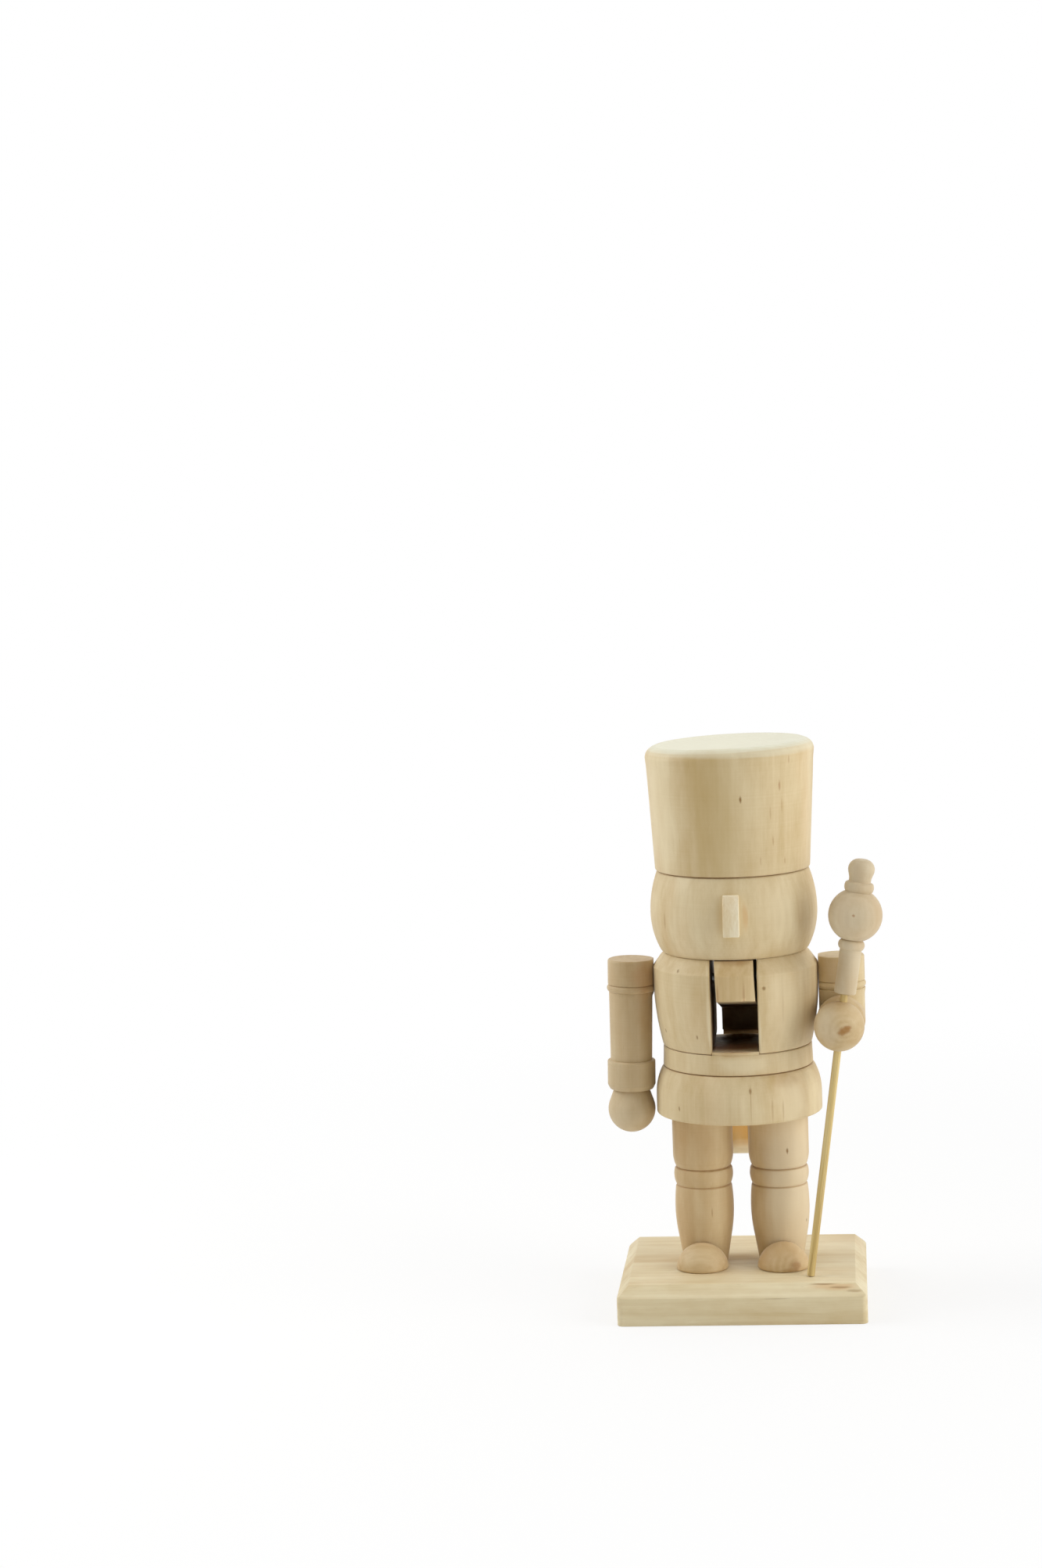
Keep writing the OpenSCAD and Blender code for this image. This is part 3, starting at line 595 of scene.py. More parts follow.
def cut_away(piece, point, normal):
    """Cuts off what lies on the side that the normal points to, and closes the cut with a flat face."""
    on_plane = 1e-7
    mesh = piece.data
    work = bmesh.new()
    work.from_mesh(mesh)
    made = bmesh.ops.bisect_plane(work, geom=work.verts[:] + work.edges[:] + work.faces[:], dist=on_plane,
                                  plane_co=Vector(point) * MM, plane_no=Vector(normal), clear_outer=True)
    rim = [item for item in made["geom_cut"] if isinstance(item, bmesh.types.BMEdge)]
    for face in bmesh.ops.edgeloop_fill(work, edges=rim)["faces"]:
        face.smooth = False
    for edge in rim:
        edge.smooth = False
    bmesh.ops.recalc_face_normals(work, faces=work.faces[:])
    work.to_mesh(mesh)
    work.free()


def eased_copy(node, name, material, width):
    """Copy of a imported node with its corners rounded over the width."""
    corner, flat = math.radians(25.0), math.radians(0.3)
    same_point, steps = 2e-6, 3
    work = bmesh.new()
    work.from_mesh(nodes[node].data)
    bmesh.ops.remove_doubles(work, verts=work.verts[:], dist=same_point)
    bmesh.ops.dissolve_limit(work, angle_limit=flat, verts=work.verts[:], edges=work.edges[:])
    sharp = [edge for edge in work.edges if edge.is_manifold and edge.calc_face_angle() > corner]
    bmesh.ops.bevel(work, geom=sharp, offset=width * MM, segments=steps, profile=0.5, affect="EDGES",
                    clamp_overlap=True)
    bmesh.ops.recalc_face_normals(work, faces=work.faces[:])
    piece = piece_from(work, name, material)
    piece.data.set_sharp_from_angle(angle=corner)
    return piece


def carve(block, across, reach, floor, top):
    """Cuts a box out of a block. Its floor goes from one height at the front to another at the back."""
    corners = []
    for y, low in zip((-reach, reach), floor):
        for z in (low, top):
            corners += [Vector((across[0], y, z)), Vector((across[1], y, z))]
    faces = [(0, 1, 3, 2), (5, 4, 6, 7), (1, 0, 4, 5), (2, 3, 7, 6), (0, 2, 6, 4), (3, 1, 5, 7)]
    cutter = new_piece("cutter", corners, faces, block.data.materials[0])
    boolean = block.modifiers.new("cut", "BOOLEAN")
    boolean.operation = "DIFFERENCE"
    boolean.solver = "EXACT"
    boolean.object = cutter
    graph = bpy.context.evaluated_depsgraph_get()
    made = bpy.data.meshes.new_from_object(block.evaluated_get(graph))
    block.modifiers.clear()
    block.data = made
    bpy.data.objects.remove(cutter)


def top_of(node):
    """Height of a node's top, in millimetres."""
    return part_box(node)[1].z / MM


def foot_of(node):
    """Height of a node's foot, in millimetres."""
    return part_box(node)[0].z / MM


# Places and sizes of the parts, in millimetres, and their angles
UP = Vector((0, 0, 1))
BELT_H = 6.6
SLOT_W = 14.6
SLOT_FRONT_Y = -23.45
SLOT_RISE = 0.95
SLOT_FALL = math.radians(3.4)
LEG_X = 12.0
LEG_Y = -2.0
KNEE_LOW = 37.7
KNEE_HIGH = 43.4
ARM_TOP = 110.15
RIGHT_ARM_X = -33.2
RIGHT_ARM_SPLAY = math.radians(1.25)
LEFT_ARM_X = 33.35
ELBOW = Vector((LEFT_ARM_X, 0.0, 90.9))
FOREARM_SWING = math.radians(3.0)
MITRE = math.radians(45.0)
STAFF_AT_HAND = Vector((32.67, -20.67, 90.9))
STAFF_LEAN = math.radians(8.2)
STAFF_TIP = math.radians(1.5)
STAFF_HEAD_LEAN = math.radians(0.8)
CROWN_TILT = math.radians(1.7)
# Rows of (height, radius) that end the hat: its upright side, the slope of its rim and its top
CROWN_ROWS = ((175.2, 26.6), (176.4, 26.25), (177.3, 25.6), (178.0, 24.6), (178.5, 23.3))
# Rows of (distance from the hand, radius) that end the staff's head: the waist and dome of its knob
KNOB_ROWS = ((45.5, 3.4), (46.6, 3.45), (47.8, 3.8), (48.9, 4.12), (50.0, 4.1), (51.0, 3.72), (51.8, 3.05),
             (52.35, 2.15), (52.6, 1.1))
# Fine turned lines: (height along the axis, depth, width)
LEG_LINES = ((KNEE_LOW, 0.2, 0.3), (KNEE_HIGH, 0.3, 0.25))
ARM_RING_LINES = ((-8.1, 0.12, 0.1), (-10.4, 0.12, 0.1))
CUFF_LINES = ((-32.4, 0.12, 0.1), (-41.8, 0.15, 0.12))
FOREARM_LINES = ((-8.0, 0.12, 0.1), (-14.2, 0.15, 0.12))
STAFF_LINES = ((24.15, 0.12, 0.15), (27.25, 0.3, 0.15), (42.28, 0.15, 0.2), (45.38, 0.15, 0.25))

swing = Matrix.Rotation(-FOREARM_SWING, 3, "Z")
staff_turn = Matrix.Rotation(STAFF_LEAN, 3, "Y") @ Matrix.Rotation(-STAFF_TIP, 3, "X")
head_turn = staff_turn @ Matrix.Rotation(STAFF_HEAD_LEAN, 3, "Y")

LEFT_LEG = Axis((LEG_X, LEG_Y, 0), UP, (0, -1, 0))
RIGHT_LEG = Axis((-LEG_X, LEG_Y, 0), UP, (0, -1, 0))
SKIRT = Axis((0, 0, 0), UP, (1, 0, 0))
# The chest's outline is read on a diagonal and the head's at the back, clear of slot, pegs and nose
CHEST = Axis((0, 0, 0), UP, (1, 1, 0))
HEAD = Axis((0, 0, 0), UP, (0, 1, 0))
HAT = Axis((0, 0, 0), UP, (0, -1, 0))
RIGHT_ARM = Axis((RIGHT_ARM_X, 0, ARM_TOP), (math.sin(RIGHT_ARM_SPLAY), 0, math.cos(RIGHT_ARM_SPLAY)),
                 (-1, 0, 0))
UPPER_ARM = Axis((LEFT_ARM_X, 0, ARM_TOP), UP, (1, 0, 0))
FOREARM = Axis(ELBOW, swing @ Vector((0, 1, 0)), (1, 0, 0))
STAFF = Axis(STAFF_AT_HAND, staff_turn @ UP, (0, -1, 0))
STAFF_HEAD = Axis(STAFF_AT_HAND, head_turn @ UP, (0, -1, 0))


def make_hat(material):
    """Turned upright, with its rim and crown leaning to one side."""
    # Distances under the top between which the lean grows from nothing to all
    lean_from, lean_to = 12.0, 5.0
    top = top_of("hat")
    outline = turned_outline("hat", HAT, blur=0.2, crown=CROWN_ROWS, join=3.0)
    points, faces = revolved(outline, HAT, BIG_SEGMENTS)
    for point in points:
        share = min(1.0, max(0.0, (point.z - top + lean_from) / (lean_from - lean_to)))
        point.z += point.x * math.tan(CROWN_TILT) * share * share * (3 - 2 * share)
    stand_for(new_piece("hat_turned", points, faces, material), "hat")


def cheek_loop(height, radius, side):
    """Points round one half of the slotted chest: front corner, outside, back corner, slot wall."""
    ease, corner_points, outside_points, wall_points = 0.45, 5, 72, 24
    wall = SLOT_W / 2
    corner_y = math.sqrt((radius - ease) ** 2 - (wall + ease) ** 2)
    swing_out = math.atan2(corner_y, wall + ease)
    loop = []
    for k in range(corner_points):
        angle = -math.pi + (math.pi - swing_out) * k / corner_points
        loop.append((wall + ease + ease * math.cos(angle), -corner_y + ease * math.sin(angle)))
    for k in range(outside_points + 1):
        angle = swing_out * (2 * k / outside_points - 1)
        loop.append((radius * math.cos(angle), radius * math.sin(angle)))
    for k in range(1, corner_points + 1):
        angle = swing_out + (math.pi - swing_out) * k / corner_points
        loop.append((wall + ease + ease * math.cos(angle), corner_y + ease * math.sin(angle)))
    for k in range(1, wall_points):
        loop.append((wall, corner_y * (1 - 2 * k / wall_points)))
    return [Vector((side * x, y, height)) for x, y in loop]


def make_cheek(line, side):
    """Points and faces of one half of the slotted chest."""
    loops = [cheek_loop(height, radius, side) for height, radius in line]
    count = len(loops[0])
    points = [point for loop in loops for point in loop]
    faces = []
    for row in range(len(loops) - 1):
        for k in range(count):
            n = (k + 1) % count
            corners = (row * count + k, row * count + n, (row + 1) * count + n, (row + 1) * count + k)
            faces.append(corners if side > 0 else corners[::-1])
    low = tuple(range(count))
    high = tuple(range((len(loops) - 1) * count, len(loops) * count))
    faces += [low[::-1], high] if side > 0 else [low, high[::-1]]
    return points, faces


def make_torso(belt_wood, cheek_wood):
    """Chest and belt in one turning: two cheeks beside the slot, on a belt that rises between them."""
    # Groove between belt and chest: half its height, its depth, and how far the cheeks reach below it
    line_gap, line_in, foot = 0.09, 1.4, 0.2
    # Radius inside which only end faces lie, and how much thinner than the rim a wall may be
    core, thinner = 5.0, 2.0
    # Cutters: how far they reach past the chest, above the slot's floor and into its walls
    reach, above, overlap = 40.0, 10.0, 1.0
    chest_z = foot_of("torso") + BELT_H
    outline = turned_outline("torso", CHEST, blur=0.14)
    sides = outline[outline[:, 1] > core]
    rim = float(np.interp(chest_z, sides[:, 0], sides[:, 1]))
    walls = outline[outline[:, 1] > rim - thinner]
    chest = [(chest_z - line_gap - foot, rim - line_in), (chest_z + line_gap, rim - line_in),
             (chest_z + line_gap, rim)]
    chest += [row for row in walls if row[0] > chest_z + line_gap]
    floor_z = chest_z + SLOT_RISE
    belt_top = floor_z + above / 2
    belt = [row for row in outline if row[0] < belt_top] + [(belt_top, 0.0)]
    points, faces = revolved(belt, CHEST, BIG_SEGMENTS)
    block = new_piece("torso_turned", points, faces, belt_wood)
    half = SLOT_W / 2
    fall = math.tan(SLOT_FALL)
    front_z = floor_z + (reach + SLOT_FRONT_Y) * fall
    back_z = floor_z - (reach - SLOT_FRONT_Y) * fall
    seat_z = chest_z - line_gap
    carve(block, (-half - overlap, half + overlap), reach, (front_z, back_z), floor_z + above)
    carve(block, (half, reach), reach, (seat_z, seat_z), floor_z + above)
    carve(block, (-reach, -half), reach, (seat_z, seat_z), floor_z + above)

    work = bmesh.new()
    work.from_mesh(block.data)
    count = len(work.faces)
    for side in (1, -1):
        cheek = new_piece("cheek", *make_cheek(chest, side), cheek_wood)
        work.from_mesh(cheek.data)
        bpy.data.objects.remove(cheek)
    work.faces.ensure_lookup_table()
    for face in work.faces[count:]:
        face.material_index = 1
    work.to_mesh(block.data)
    work.free()
    block.data.materials.append(cheek_wood)
    block.data.set_sharp_from_angle(angle=math.radians(40))
    stand_for(block, "torso")


def make_lever(material):
    """Jaw, lever and tail in one board. The jaw leans a little to one side and its lower edge is pared."""
    lean, pared = 0.042, 0.3
    # Height at which the lean moves nothing, height under which the edge is pared, and the back of the jaw
    upright_z, lower_z, jaw_y = 103.2, 100.4, -15.0
    piece = eased_copy("jaw_lever", "jaw_lever_board", material, width=0.25)
    for vertex in piece.data.vertices:
        x, y, z = vertex.co / MM
        if y < jaw_y:
            x -= lean * (z - upright_z)
            z += pared if z < lower_z else 0.0
        vertex.co = Vector((x, y, z)) * MM
    stand_for(piece, "jaw_lever", "jaw")


def make_shoe(node, material):
    """Quarter ball with eased edges: each direction from inside is carried out to the nearest face."""
    # Sharpness of the edges, how far in the middle lies as a share of the radius, and steps of the search
    sharpness, inside, detail, halvings = 5.0, 0.42, 5, 40
    low, high = (np.array(corner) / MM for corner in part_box(node))
    radius = high[2] - low[2]
    centre = np.array([(low[0] + high[0]) / 2, high[1], low[2]])
    middle = np.array([0.0, -inside * radius, inside * radius])
    work = bmesh.new()
    bmesh.ops.create_icosphere(work, subdivisions=detail, radius=1.0)
    ways = np.array([vertex.co for vertex in work.verts])
    near, far = np.zeros(len(ways)), np.full(len(ways), 2 * radius)
    for _ in range(halvings):
        reach = (near + far) / 2
        at = middle + ways * reach[:, None]
        faces = np.stack([np.linalg.norm(at, axis=1) - radius, at[:, 1], -at[:, 2]])
        outside = np.log(np.exp(sharpness * faces).sum(axis=0)) > 0
        near, far = np.where(outside, near, reach), np.where(outside, reach, far)
    for vertex, place in zip(work.verts, centre + middle + ways * near[:, None]):
        vertex.co = place * MM
    stand_for(piece_from(work, node + "_form", material), node)


def make_rod(material):
    """Bamboo rod with uneven ridges along its fibres, which twist a little."""
    segments, row = 56, 3.0
    ridges, depth, waves, unevenness, twist = 11, 0.035, 3, 2.0, 0.02
    line = read_outline("staff_rod", STAFF)
    low, high = line[0][0], line[-1][0]
    radius = float(np.median(line[:, 1]))
    heights = np.linspace(low, high, int((high - low) / row) + 1)
    rows = [(low, 0.0)] + [(height, radius) for height in heights] + [(high, 0.0)]
    points, faces = revolved(rows, STAFF, segments)
    for point in points:
        apart = point - STAFF.origin
        height = apart.dot(STAFF.along)
        outward = apart - STAFF.along * height
        if outward.length > POLE_R:
            angle = math.atan2(outward.dot(STAFF.side), outward.dot(STAFF.out))
            ridge = math.sin(ridges * angle + unevenness * math.sin(waves * angle) + twist * height)
            point -= outward.normalized() * depth * (0.5 - 0.5 * ridge)
    piece = new_piece("staff_rod_split", points, faces, material)
    piece.data.set_sharp_from_angle(angle=math.radians(50))
    stand_for(piece, "staff_rod")


def filled_out(piece, middle, above, times):
    """Makes the side of a turned part that faces the chest so many times as thick, above a height."""
    for vertex in piece.data.vertices:
        x, z = vertex.co.x / MM, vertex.co.z / MM
        if z > above and abs(x) < abs(middle):
            vertex.co.x = (middle + (x - middle) * times) * MM


def make_arms(right, upper, fore):
    """Straight arm and bent arm, both pared flat at the chest, the bent one mitred at the elbow."""
    ease, chest_gap = 0.12, 0.04
    # Sides towards the chest: how many times as thick, the straight arm's only from its ring up
    straight_times, ring_z, bent_times = 1.08, 99.0, 1.12
    # The bent arm's sleeves: their ends away from the elbow, and how many times as thick they are
    upper_sleeve, fore_sleeve, sleeve_times = -10.6, -7.8, 1.08
    # Length added for the mitre, and a distance past the end of any arm
    spare, beyond = 9.0, 80.0
    chest_low, chest_high = (corner.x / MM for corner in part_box("torso"))

    straight = turned("right_arm", RIGHT_ARM, right, lines=ARM_RING_LINES + CUFF_LINES, blur=ease)
    filled_out(straight, RIGHT_ARM_X, ring_z, straight_times)
    cut_away(straight, (chest_low - chest_gap, 0, 0), (1, 0, 0))

    mitre = swing @ Vector((0, math.sin(MITRE), math.cos(MITRE)))
    arm = turned("left_upper_arm", UPPER_ARM, upper, lines=ARM_RING_LINES, blur=ease, hollow=0.0, below=spare,
                 full=(-beyond, upper_sleeve, sleeve_times))
    cut_away(arm, ELBOW, -mitre)
    filled_out(arm, LEFT_ARM_X, 0.0, bent_times)
    cut_away(arm, (chest_high + chest_gap, 0, 0), (-1, 0, 0))

    hand = turned("left_forearm", FOREARM, fore, lines=FOREARM_LINES, blur=ease, hollow=0.0, above=spare,
                  full=(fore_sleeve, beyond, sleeve_times))
    cut_away(hand, ELBOW, mitre)


# Light of the studio by direction: white all round, dim at the front and low on the left
SURROUND_LIGHT = 0.87
FRONT_LIGHT = 0.12
LOW_LEFT_LIGHT = 0.35
FRONT = (0.0, -0.99, 0.14)
LOW_LEFT = (-0.95, -0.3, -0.05)
# Cosines of the angles from those directions between which the light dims
DIM_FROM = 0.45
DIM_TO = 0.85
# Softboxes: name, place, side and watts
SOFTBOXES = (
    ("left_box", (-0.72, 0.0, 0.6), 0.5, 3.3),
    ("right_box", (0.82, -0.35, 0.34), 0.8, 4.4),
    ("top_box", (0.0, 0.1, 0.95), 0.6, 0.3),
)
# Share of plain white in the floor beside the object, and the distances between which it grows to 1
FLOOR_WHITE = 0.72
FLOOR_NEAR = 0.12
FLOOR_FAR = 0.5


def seen_directly(shader):
    """1 for rays from the camera and for reflections and refractions, 0 for light on a surface."""
    path = shader.node("ShaderNodeLightPath")
    seen = shader.math("MAXIMUM", path.outputs["Is Camera Ray"], path.outputs["Is Glossy Ray"])
    return shader.math("MAXIMUM", seen, path.outputs["Is Transmission Ray"])


def add_world():
    """Surrounding light, which is plain white where it is seen."""
    world = bpy.data.worlds.new("studio")
    bpy.context.scene.world = world
    world.use_nodes = True
    shader = Shader(world.node_tree)
    direction = shader.node("ShaderNodeTexCoord").outputs["Generated"]
    level = SURROUND_LIGHT
    for towards, dim in ((LOW_LEFT, LOW_LEFT_LIGHT), (FRONT, FRONT_LIGHT)):
        near = shader.step(shader.vector("DOT_PRODUCT", direction, towards), DIM_FROM, DIM_TO)
        level = shader.math("MULTIPLY_ADD", near, shader.math("SUBTRACT", dim, level), level)
    light = shader.node("ShaderNodeBackground")
    light.inputs["Color"].default_value = WHITE
    shader.plug(light.inputs["Strength"], level)
    white = shader.node("ShaderNodeBackground")
    white.inputs["Color"].default_value = WHITE
    shader.show(shader.blend(seen_directly(shader), light, white), "ShaderNodeOutputWorld")


def add_floor():
    """White floor that keeps a faint shadow of the object, a hair below it."""
    half, below = 4000.0, 0.02
    material, shader = new_material("floor_white")
    matte = shader.node("ShaderNodeBsdfDiffuse")
    matte.inputs["Color"].default_value = FLOOR_TONE
    glow = shader.node("ShaderNodeEmission")
    glow.inputs["Color"].default_value = WHITE
    away = shader.vector("LENGTH", shader.node("ShaderNodeTexCoord").outputs["Object"])
    white = shader.step(away, FLOOR_NEAR, FLOOR_FAR, FLOOR_WHITE, 1.0)
    shader.show(shader.blend(shader.math("MULTIPLY", seen_directly(shader), white), matte, glow))
    corners = [(-half, -half, 0), (half, -half, 0), (half, half, 0), (-half, half, 0)]
    floor = new_piece("floor", corners, [(0, 1, 2, 3)], material)
    floor.location.z = -below * MM


def add_softbox(name, place, side, watts):
    """Square light that faces the middle of the figure."""
    data = bpy.data.lights.new(name, "AREA")
    data.shape = "SQUARE"
    data.size = side
    data.energy = watts
    lamp = bpy.data.objects.new(name, data)
    lamp.location = place
    lamp.rotation_mode = "QUATERNION"
    lamp.rotation_quaternion = (CAMERA_TARGET - Vector(place)).to_track_quat("-Z", "Y")
    bpy.context.scene.collection.objects.link(lamp)


# Marks on the parts: (place, size, colour, strength), with places and sizes in millimetres
HAT_MARKS = (
    # Painted shade down the hat's front
    ((-5.0, -25.0, 156.0), (12.0, 10.0, 42.0), HAT_SHADE, 0.5),
    ((0.0, 0.0, 177.4), (60.0, 60.0, 2.2), HAT_RIM, 0.5),
    # Painted highlight on the hat's left side
    ((-22.0, -13.0, 158.0), (8.0, 14.0, 26.0), HIGHLIGHT, 0.4),
    ((3.9, -25.4, 162.8), (0.55, 0.8, 1.5), FLECK, 0.8),
    ((18.9, -18.4, 174.2), (0.4, 0.7, 2.0), RUST, 0.35),
    ((15.9, -20.5, 166.3), (0.45, 0.9, 2.4), RUST, 0.5),
    ((13.5, -21.0, 149.2), (0.35, 0.7, 2.2), RUST, 0.35),
    ((12.9, -21.9, 158.0), (0.35, 0.7, 3.0), RUST, 0.25),
    ((16.4, -19.6, 160.1), (0.4, 0.7, 3.4), RUST, 0.25),
    ((16.9, -18.0, 142.6), (0.35, 0.7, 1.8), RUST, 0.3),
    ((9.5, -22.9, 143.2), (0.35, 0.7, 2.2), RUST, 0.25),
)
HEAD_MARKS = (
    # Painted shade on the head's right side
    ((20.9, -15.0, 126.0), (2.0, 4.0, 7.0), BROWN, 0.12),
    ((-21.1, -15.7, 124.0), (0.5, 1.0, 4.0), BROWN, 0.4),
    ((4.4, -26.0, 126.5), (1.2, 1.0, 7.0), WARM, 0.4),
    # Painted highlight on the head's right front
    ((14.0, -21.0, 125.0), (8.0, 9.0, 15.0), HIGHLIGHT, 0.35),
)
TORSO_MARKS = (
    ((0.0, -10.0, 82.6), (14.0, 15.0, 2.5), SLOT_FLOOR, 0.95),
    ((0.0, -22.6, 83.7), (8.5, 1.7, 0.7), SLOT_FLOOR, 0.6),
    # Painted shade inside the slot, over its sawn back, floor and walls
    ((0.0, 9.0, 96.0), (16.0, 22.0, 20.0), SAWN_AND_SHADE, 0.95),
    ((0.0, 14.0, 81.5), (11.0, 18.0, 4.0), SAWN_AND_SHADE, 0.9),
    ((-7.3, -9.0, 95.0), (1.3, 17.0, 26.0), SAWN_AND_SHADE, 0.9),
    ((7.3, -9.0, 95.0), (1.3, 17.0, 26.0), SAWN_AND_SHADE, 0.9),
    ((-17.3, -18.5, 108.8), (0.6, 0.8, 1.1), FLECK, 0.65),
    ((9.4, -24.2, 103.8), (0.8, 0.7, 0.9), FLECK, 0.7),
    ((-11.8, -21.7, 88.3), (0.5, 0.6, 1.0), FLECK, 0.65),
    ((-22.0, -11.3, 88.8), (0.45, 0.6, 0.9), FLECK, 0.6),
    ((15.0, -20.5, 100.0), (0.5, 1.5, 11.0), BROWN, 0.35),
    ((21.8, -14.0, 97.0), (0.8, 1.5, 14.0), BROWN, 0.1),
    # Painted highlights on the right front of the chest and belt, and along the slot's front edges
    ((15.0, -20.0, 97.0), (8.0, 9.0, 17.0), HIGHLIGHT, 0.4),
    ((2.0, -24.0, 79.3), (12.0, 8.0, 4.0), HIGHLIGHT, 0.4),
    ((-8.0, -23.2, 97.0), (0.8, 2.5, 20.0), HIGHLIGHT, 0.6),
    ((7.8, -23.2, 91.0), (0.6, 2.5, 12.0), HIGHLIGHT, 0.5),
)
SKIRT_MARKS = (
    ((-18.2, -18.8, 65.3), (0.5, 0.6, 1.0), FLECK, 0.65),
    ((4.3, -25.2, 71.7), (0.6, 0.7, 1.3), FLECK, 0.6),
    ((4.4, -25.4, 68.5), (0.2, 2.0, 8.5), BROWN, 0.5),
    # Painted highlight on the skirt's right front
    ((16.0, -20.0, 67.0), (9.0, 9.0, 12.0), HIGHLIGHT, 0.5),
    ((15.7, -19.1, 74.0), (8.5, 5.0, 3.0), BROWN, 0.15),
    ((11.0, -23.5, 65.5), (0.45, 1.5, 5.0), BROWN, 0.35),
    ((14.3, -21.8, 65.0), (0.4, 1.5, 4.5), BROWN, 0.3),
)
LEFT_LEG_MARKS = (
    # Paler wood and painted light on the leg's lit side
    ((17.0, -9.0, 36.0), (13.0, 12.0, 52.0), LIMB_PALE_AND_LIGHT, 0.6),
    ((14.9, -11.1, 49.6), (0.5, 0.7, 1.3), FLECK, 0.75),
    ((20.3, -5.7, 26.1), (0.4, 0.5, 0.8), FLECK, 0.65),
)
RIGHT_LEG_MARKS = (((-9.3, -10.9, 30.0), (0.3, 0.5, 2.4), BROWN, 0.5),)
RIGHT_ARM_MARKS = (
    # Paler wood and painted light on the hand, then painted shade on the side beside the chest
    ((-35.0, -4.0, 60.0), (9.0, 9.0, 9.0), LIMB_PALE_AND_LIGHT, 0.35),
    ((-28.6, -5.0, 104.0), (5.0, 8.0, 9.0), ARM_SHADE, 0.45),
    ((-28.6, -5.0, 92.0), (4.0, 7.0, 12.0), ARM_SHADE, 0.2),
)
# Painted shade on the cap of the bent arm
UPPER_ARM_MARKS = (((29.5, -6.0, 106.0), (8.0, 8.0, 7.0), CAP_SHADE, 0.2),)
FOREARM_MARKS = (
    # Paler wood and painted light on the inner side of the hand
    ((28.5, -25.0, 92.0), (6.0, 6.0, 9.0), LIMB_PALE_AND_LIGHT, 0.45),
    ((34.1, -28.3, 90.9), (2.6, 1.8, 1.7), BROWN, 0.85),
    ((33.0, -28.3, 90.1), (1.8, 1.6, 1.2), BROWN, 0.8),
    ((35.1, -28.2, 91.7), (1.7, 1.6, 1.1), BROWN, 0.75),
)
STAFF_HEAD_MARKS = (
    ((34.7, -21.0, 106.5), (6.0, 6.0, 11.0), HAND_TAN, 0.35),
    ((37.6, -27.9, 126.5), (0.7, 0.8, 0.6), RUST, 0.6),
)
PLINTH_MARKS = (
    ((28.5, -31.9, 11.3), (10.5, 1.8, 1.5), WARM, 0.5),
    ((25.0, -31.3, 12.0), (5.5, 0.5, 0.4), CRACK, 0.6),
    ((30.5, -32.1, 11.1), (4.6, 0.6, 0.5), CRACK, 0.5),
    ((34.8, -33.0, 10.2), (3.2, 0.7, 0.6), CRACK, 0.4),
    ((10.6, -34.5, 8.3), (6.2, 0.6, 0.14), CRACK, 0.6),
)
LEVER_MARKS = (
    # Painted shade on the lever's heel inside the slot
    ((0.5, 6.0, 88.0), (20.0, 24.0, 18.0), SAWN_AND_SHADE, 0.95),
    ((0.5, 28.0, 57.0), (14.0, 14.0, 22.0), AMBER, 0.75),
    # Painted shade in the crevice behind the torso
    ((0.5, 26.2, 82.0), (40.0, 1.4, 10.0), CREVICE_SHADE, 1.0),
    # Painted light on the lower end of the tail
    ((0.5, 27.0, 40.5), (12.0, 6.0, 5.0), NOSE_PALE, 0.8),
    ((1.6, 27.0, 50.0), (0.4, 2.0, 14.0), RUST, 0.5),
    # Painted shadow of the head on the top of the jaw
    ((0.5, -22.8, 112.4), (9.0, 4.0, 2.0), BROWN, 0.45),
    ((-4.9, -25.5, 101.0), (0.4, 1.5, 7.0), RUST, 0.5),
    ((3.2, -25.7, 101.0), (0.5, 1.5, 7.0), RUST, 0.4),
)
LEFT_SHOE_MARKS = (
    ((16.8, -17.2, 14.2), (2.6, 2.5, 2.3), BROWN, 0.62),
    ((15.0, -18.2, 13.0), (3.6, 2.0, 1.1), BROWN, 0.45),
)
# Painted shade as dark lines in seams and grooves: half their thickness, and a reach that takes in any part
SEAM = 0.35
SEAM_REACH = 60.0


def shade_lines(*heights, strength=0.85):
    """Marks of dark lines all round a part: painted shade in its joints and grooves."""
    return tuple(((0.0, 0.0, z), (SEAM_REACH, SEAM_REACH, SEAM), BROWN, strength) for z in heights)


# Legs
# Painted shade in the knee grooves
knee_shade_lines = shade_lines(KNEE_LOW, KNEE_HIGH, strength=0.5)
for node, axis, marks, shift in (("left_leg", LEFT_LEG, LEFT_LEG_MARKS, 11.0),
                                 ("right_leg", RIGHT_LEG, RIGHT_LEG_MARKS, 23.0)):
    leg_wood = wood(node + "_wood", LEG_PALE, LEG_TAN, shift=shift, marks=marks + knee_shade_lines)
    turned(node, axis, leg_wood, lines=LEG_LINES)

# Skirt, head, torso and hat
skirt_wood = wood("skirt_wood", PALE, TAN, shift=57.0, marks=SKIRT_MARKS + shade_lines(top_of("skirt")))
turned("skirt", SKIRT, skirt_wood, BIG_SEGMENTS, blur=0.25)
head_wood = wood("head_wood", PALE, TAN, shift=83.0, marks=HEAD_MARKS + shade_lines(top_of("head")))
turned("head", HEAD, head_wood, BIG_SEGMENTS, blur=0.2)
belt_marks = TORSO_MARKS + shade_lines(foot_of("torso"))
cheek_marks = TORSO_MARKS + shade_lines(foot_of("torso") + BELT_H)
make_torso(wood("belt_wood", PALE, TAN, shift=61.0, marks=belt_marks),
           wood("cheek_wood", PALE, TAN, shift=61.0, marks=cheek_marks))
make_hat(wood("hat_wood", PALE, TAN, shift=101.0, pith=(9, 14), end_tones=CROWN_TONES,
              marks=HAT_MARKS + shade_lines(foot_of("hat"))))

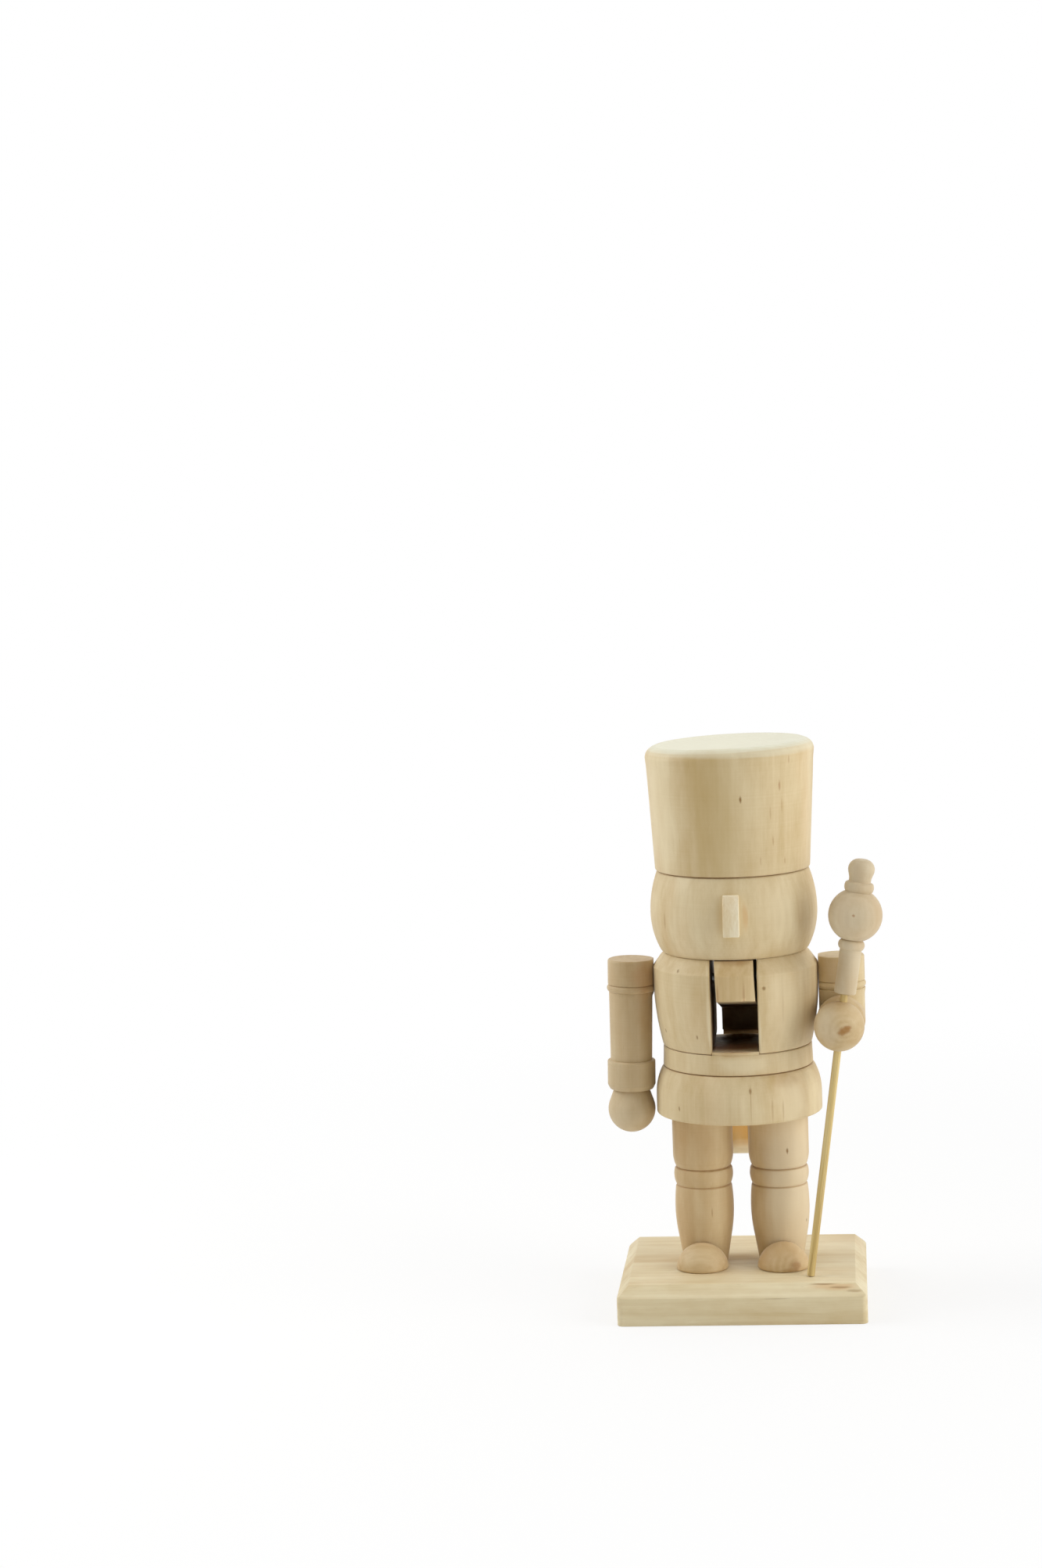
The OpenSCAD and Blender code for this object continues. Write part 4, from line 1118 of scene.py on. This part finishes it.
# Arms and staff
make_arms(wood("right_arm_wood", ARM_PALE, ARM_TAN, shift=113.0, pith=(-30, 4), end=0.45,
               marks=RIGHT_ARM_MARKS),
          wood("upper_arm_wood", PALE, TAN, shift=127.0, marks=UPPER_ARM_MARKS),
          wood("forearm_wood", HAND_PALE, HAND_TAN, lean=(90, 0, 0), shift=131.0, pith=(34, 91), ring=2.0,
               turning=tuple(FOREARM.along), end=0.5, marks=FOREARM_MARKS))
staff_wood = wood("staff_head_wood", STAFF_PALE, STAFF_TAN, shift=149.0, turning=tuple(STAFF_HEAD.along),
                  end=0.5, marks=STAFF_HEAD_MARKS)
turned("staff_head", STAFF_HEAD, staff_wood, lines=STAFF_LINES, blur=0.25, crown=KNOB_ROWS)
make_rod(bamboo("bamboo", (-math.degrees(STAFF_TIP), math.degrees(STAFF_LEAN), 0)))

# Shoes and plinth
make_shoe("left_shoe", wood("left_shoe_wood", LEG_PALE, LEG_TAN, lean=(90, 0, 0), shift=31.0, pith=(16.5, 14),
                            ring=1.8, turning=None, end=0.6, marks=LEFT_SHOE_MARKS))
make_shoe("right_shoe", wood("right_shoe_wood", LEG_PALE, LEG_TAN, lean=(0, 90, 0), shift=43.0, streak=1.2,
                             turning=None))
board_wood = wood("plinth_wood", PLINTH_PALE, PLINTH_TAN, lean=(0, 90, 0), shift=3.0, streak=1.0,
                  turning=None, marks=PLINTH_MARKS)
stand_for(eased_copy("plinth", "plinth_board", board_wood, width=0.5), "plinth")

# Nose and jaw
stick_wood = wood("nose_wood", NOSE_PALE, NOSE_TAN, shift=97.0, streak=1.2, fibre=0.78, turning=None)
stand_for(eased_copy("nose", "nose_stick", stick_wood, width=0.3), "nose")
make_lever(wood("jaw_wood", JAW_PALE, JAW_TAN, lean=(0, 3, 0), shift=73.0, streak=1.0, turning=None, end=0.3,
                marks=LEVER_MARKS))

# Pegs, screws and pin
peg_wood = wood("peg_wood", PALE, TAN, shift=151.0)
plain_steel = steel("plain_steel")
for name, part in nodes.items():
    if name.endswith("_peg"):
        part.data.materials.clear()
        part.data.materials.append(peg_wood)
    elif name.endswith(("_screw", "_pin")):
        part.data.materials.clear()
        part.data.materials.append(plain_steel)

# Camera, light and floor
add_camera()
add_world()
add_floor()
for softbox in SOFTBOXES:
    add_softbox(*softbox)
bpy.context.scene.view_settings.view_transform = "Standard"
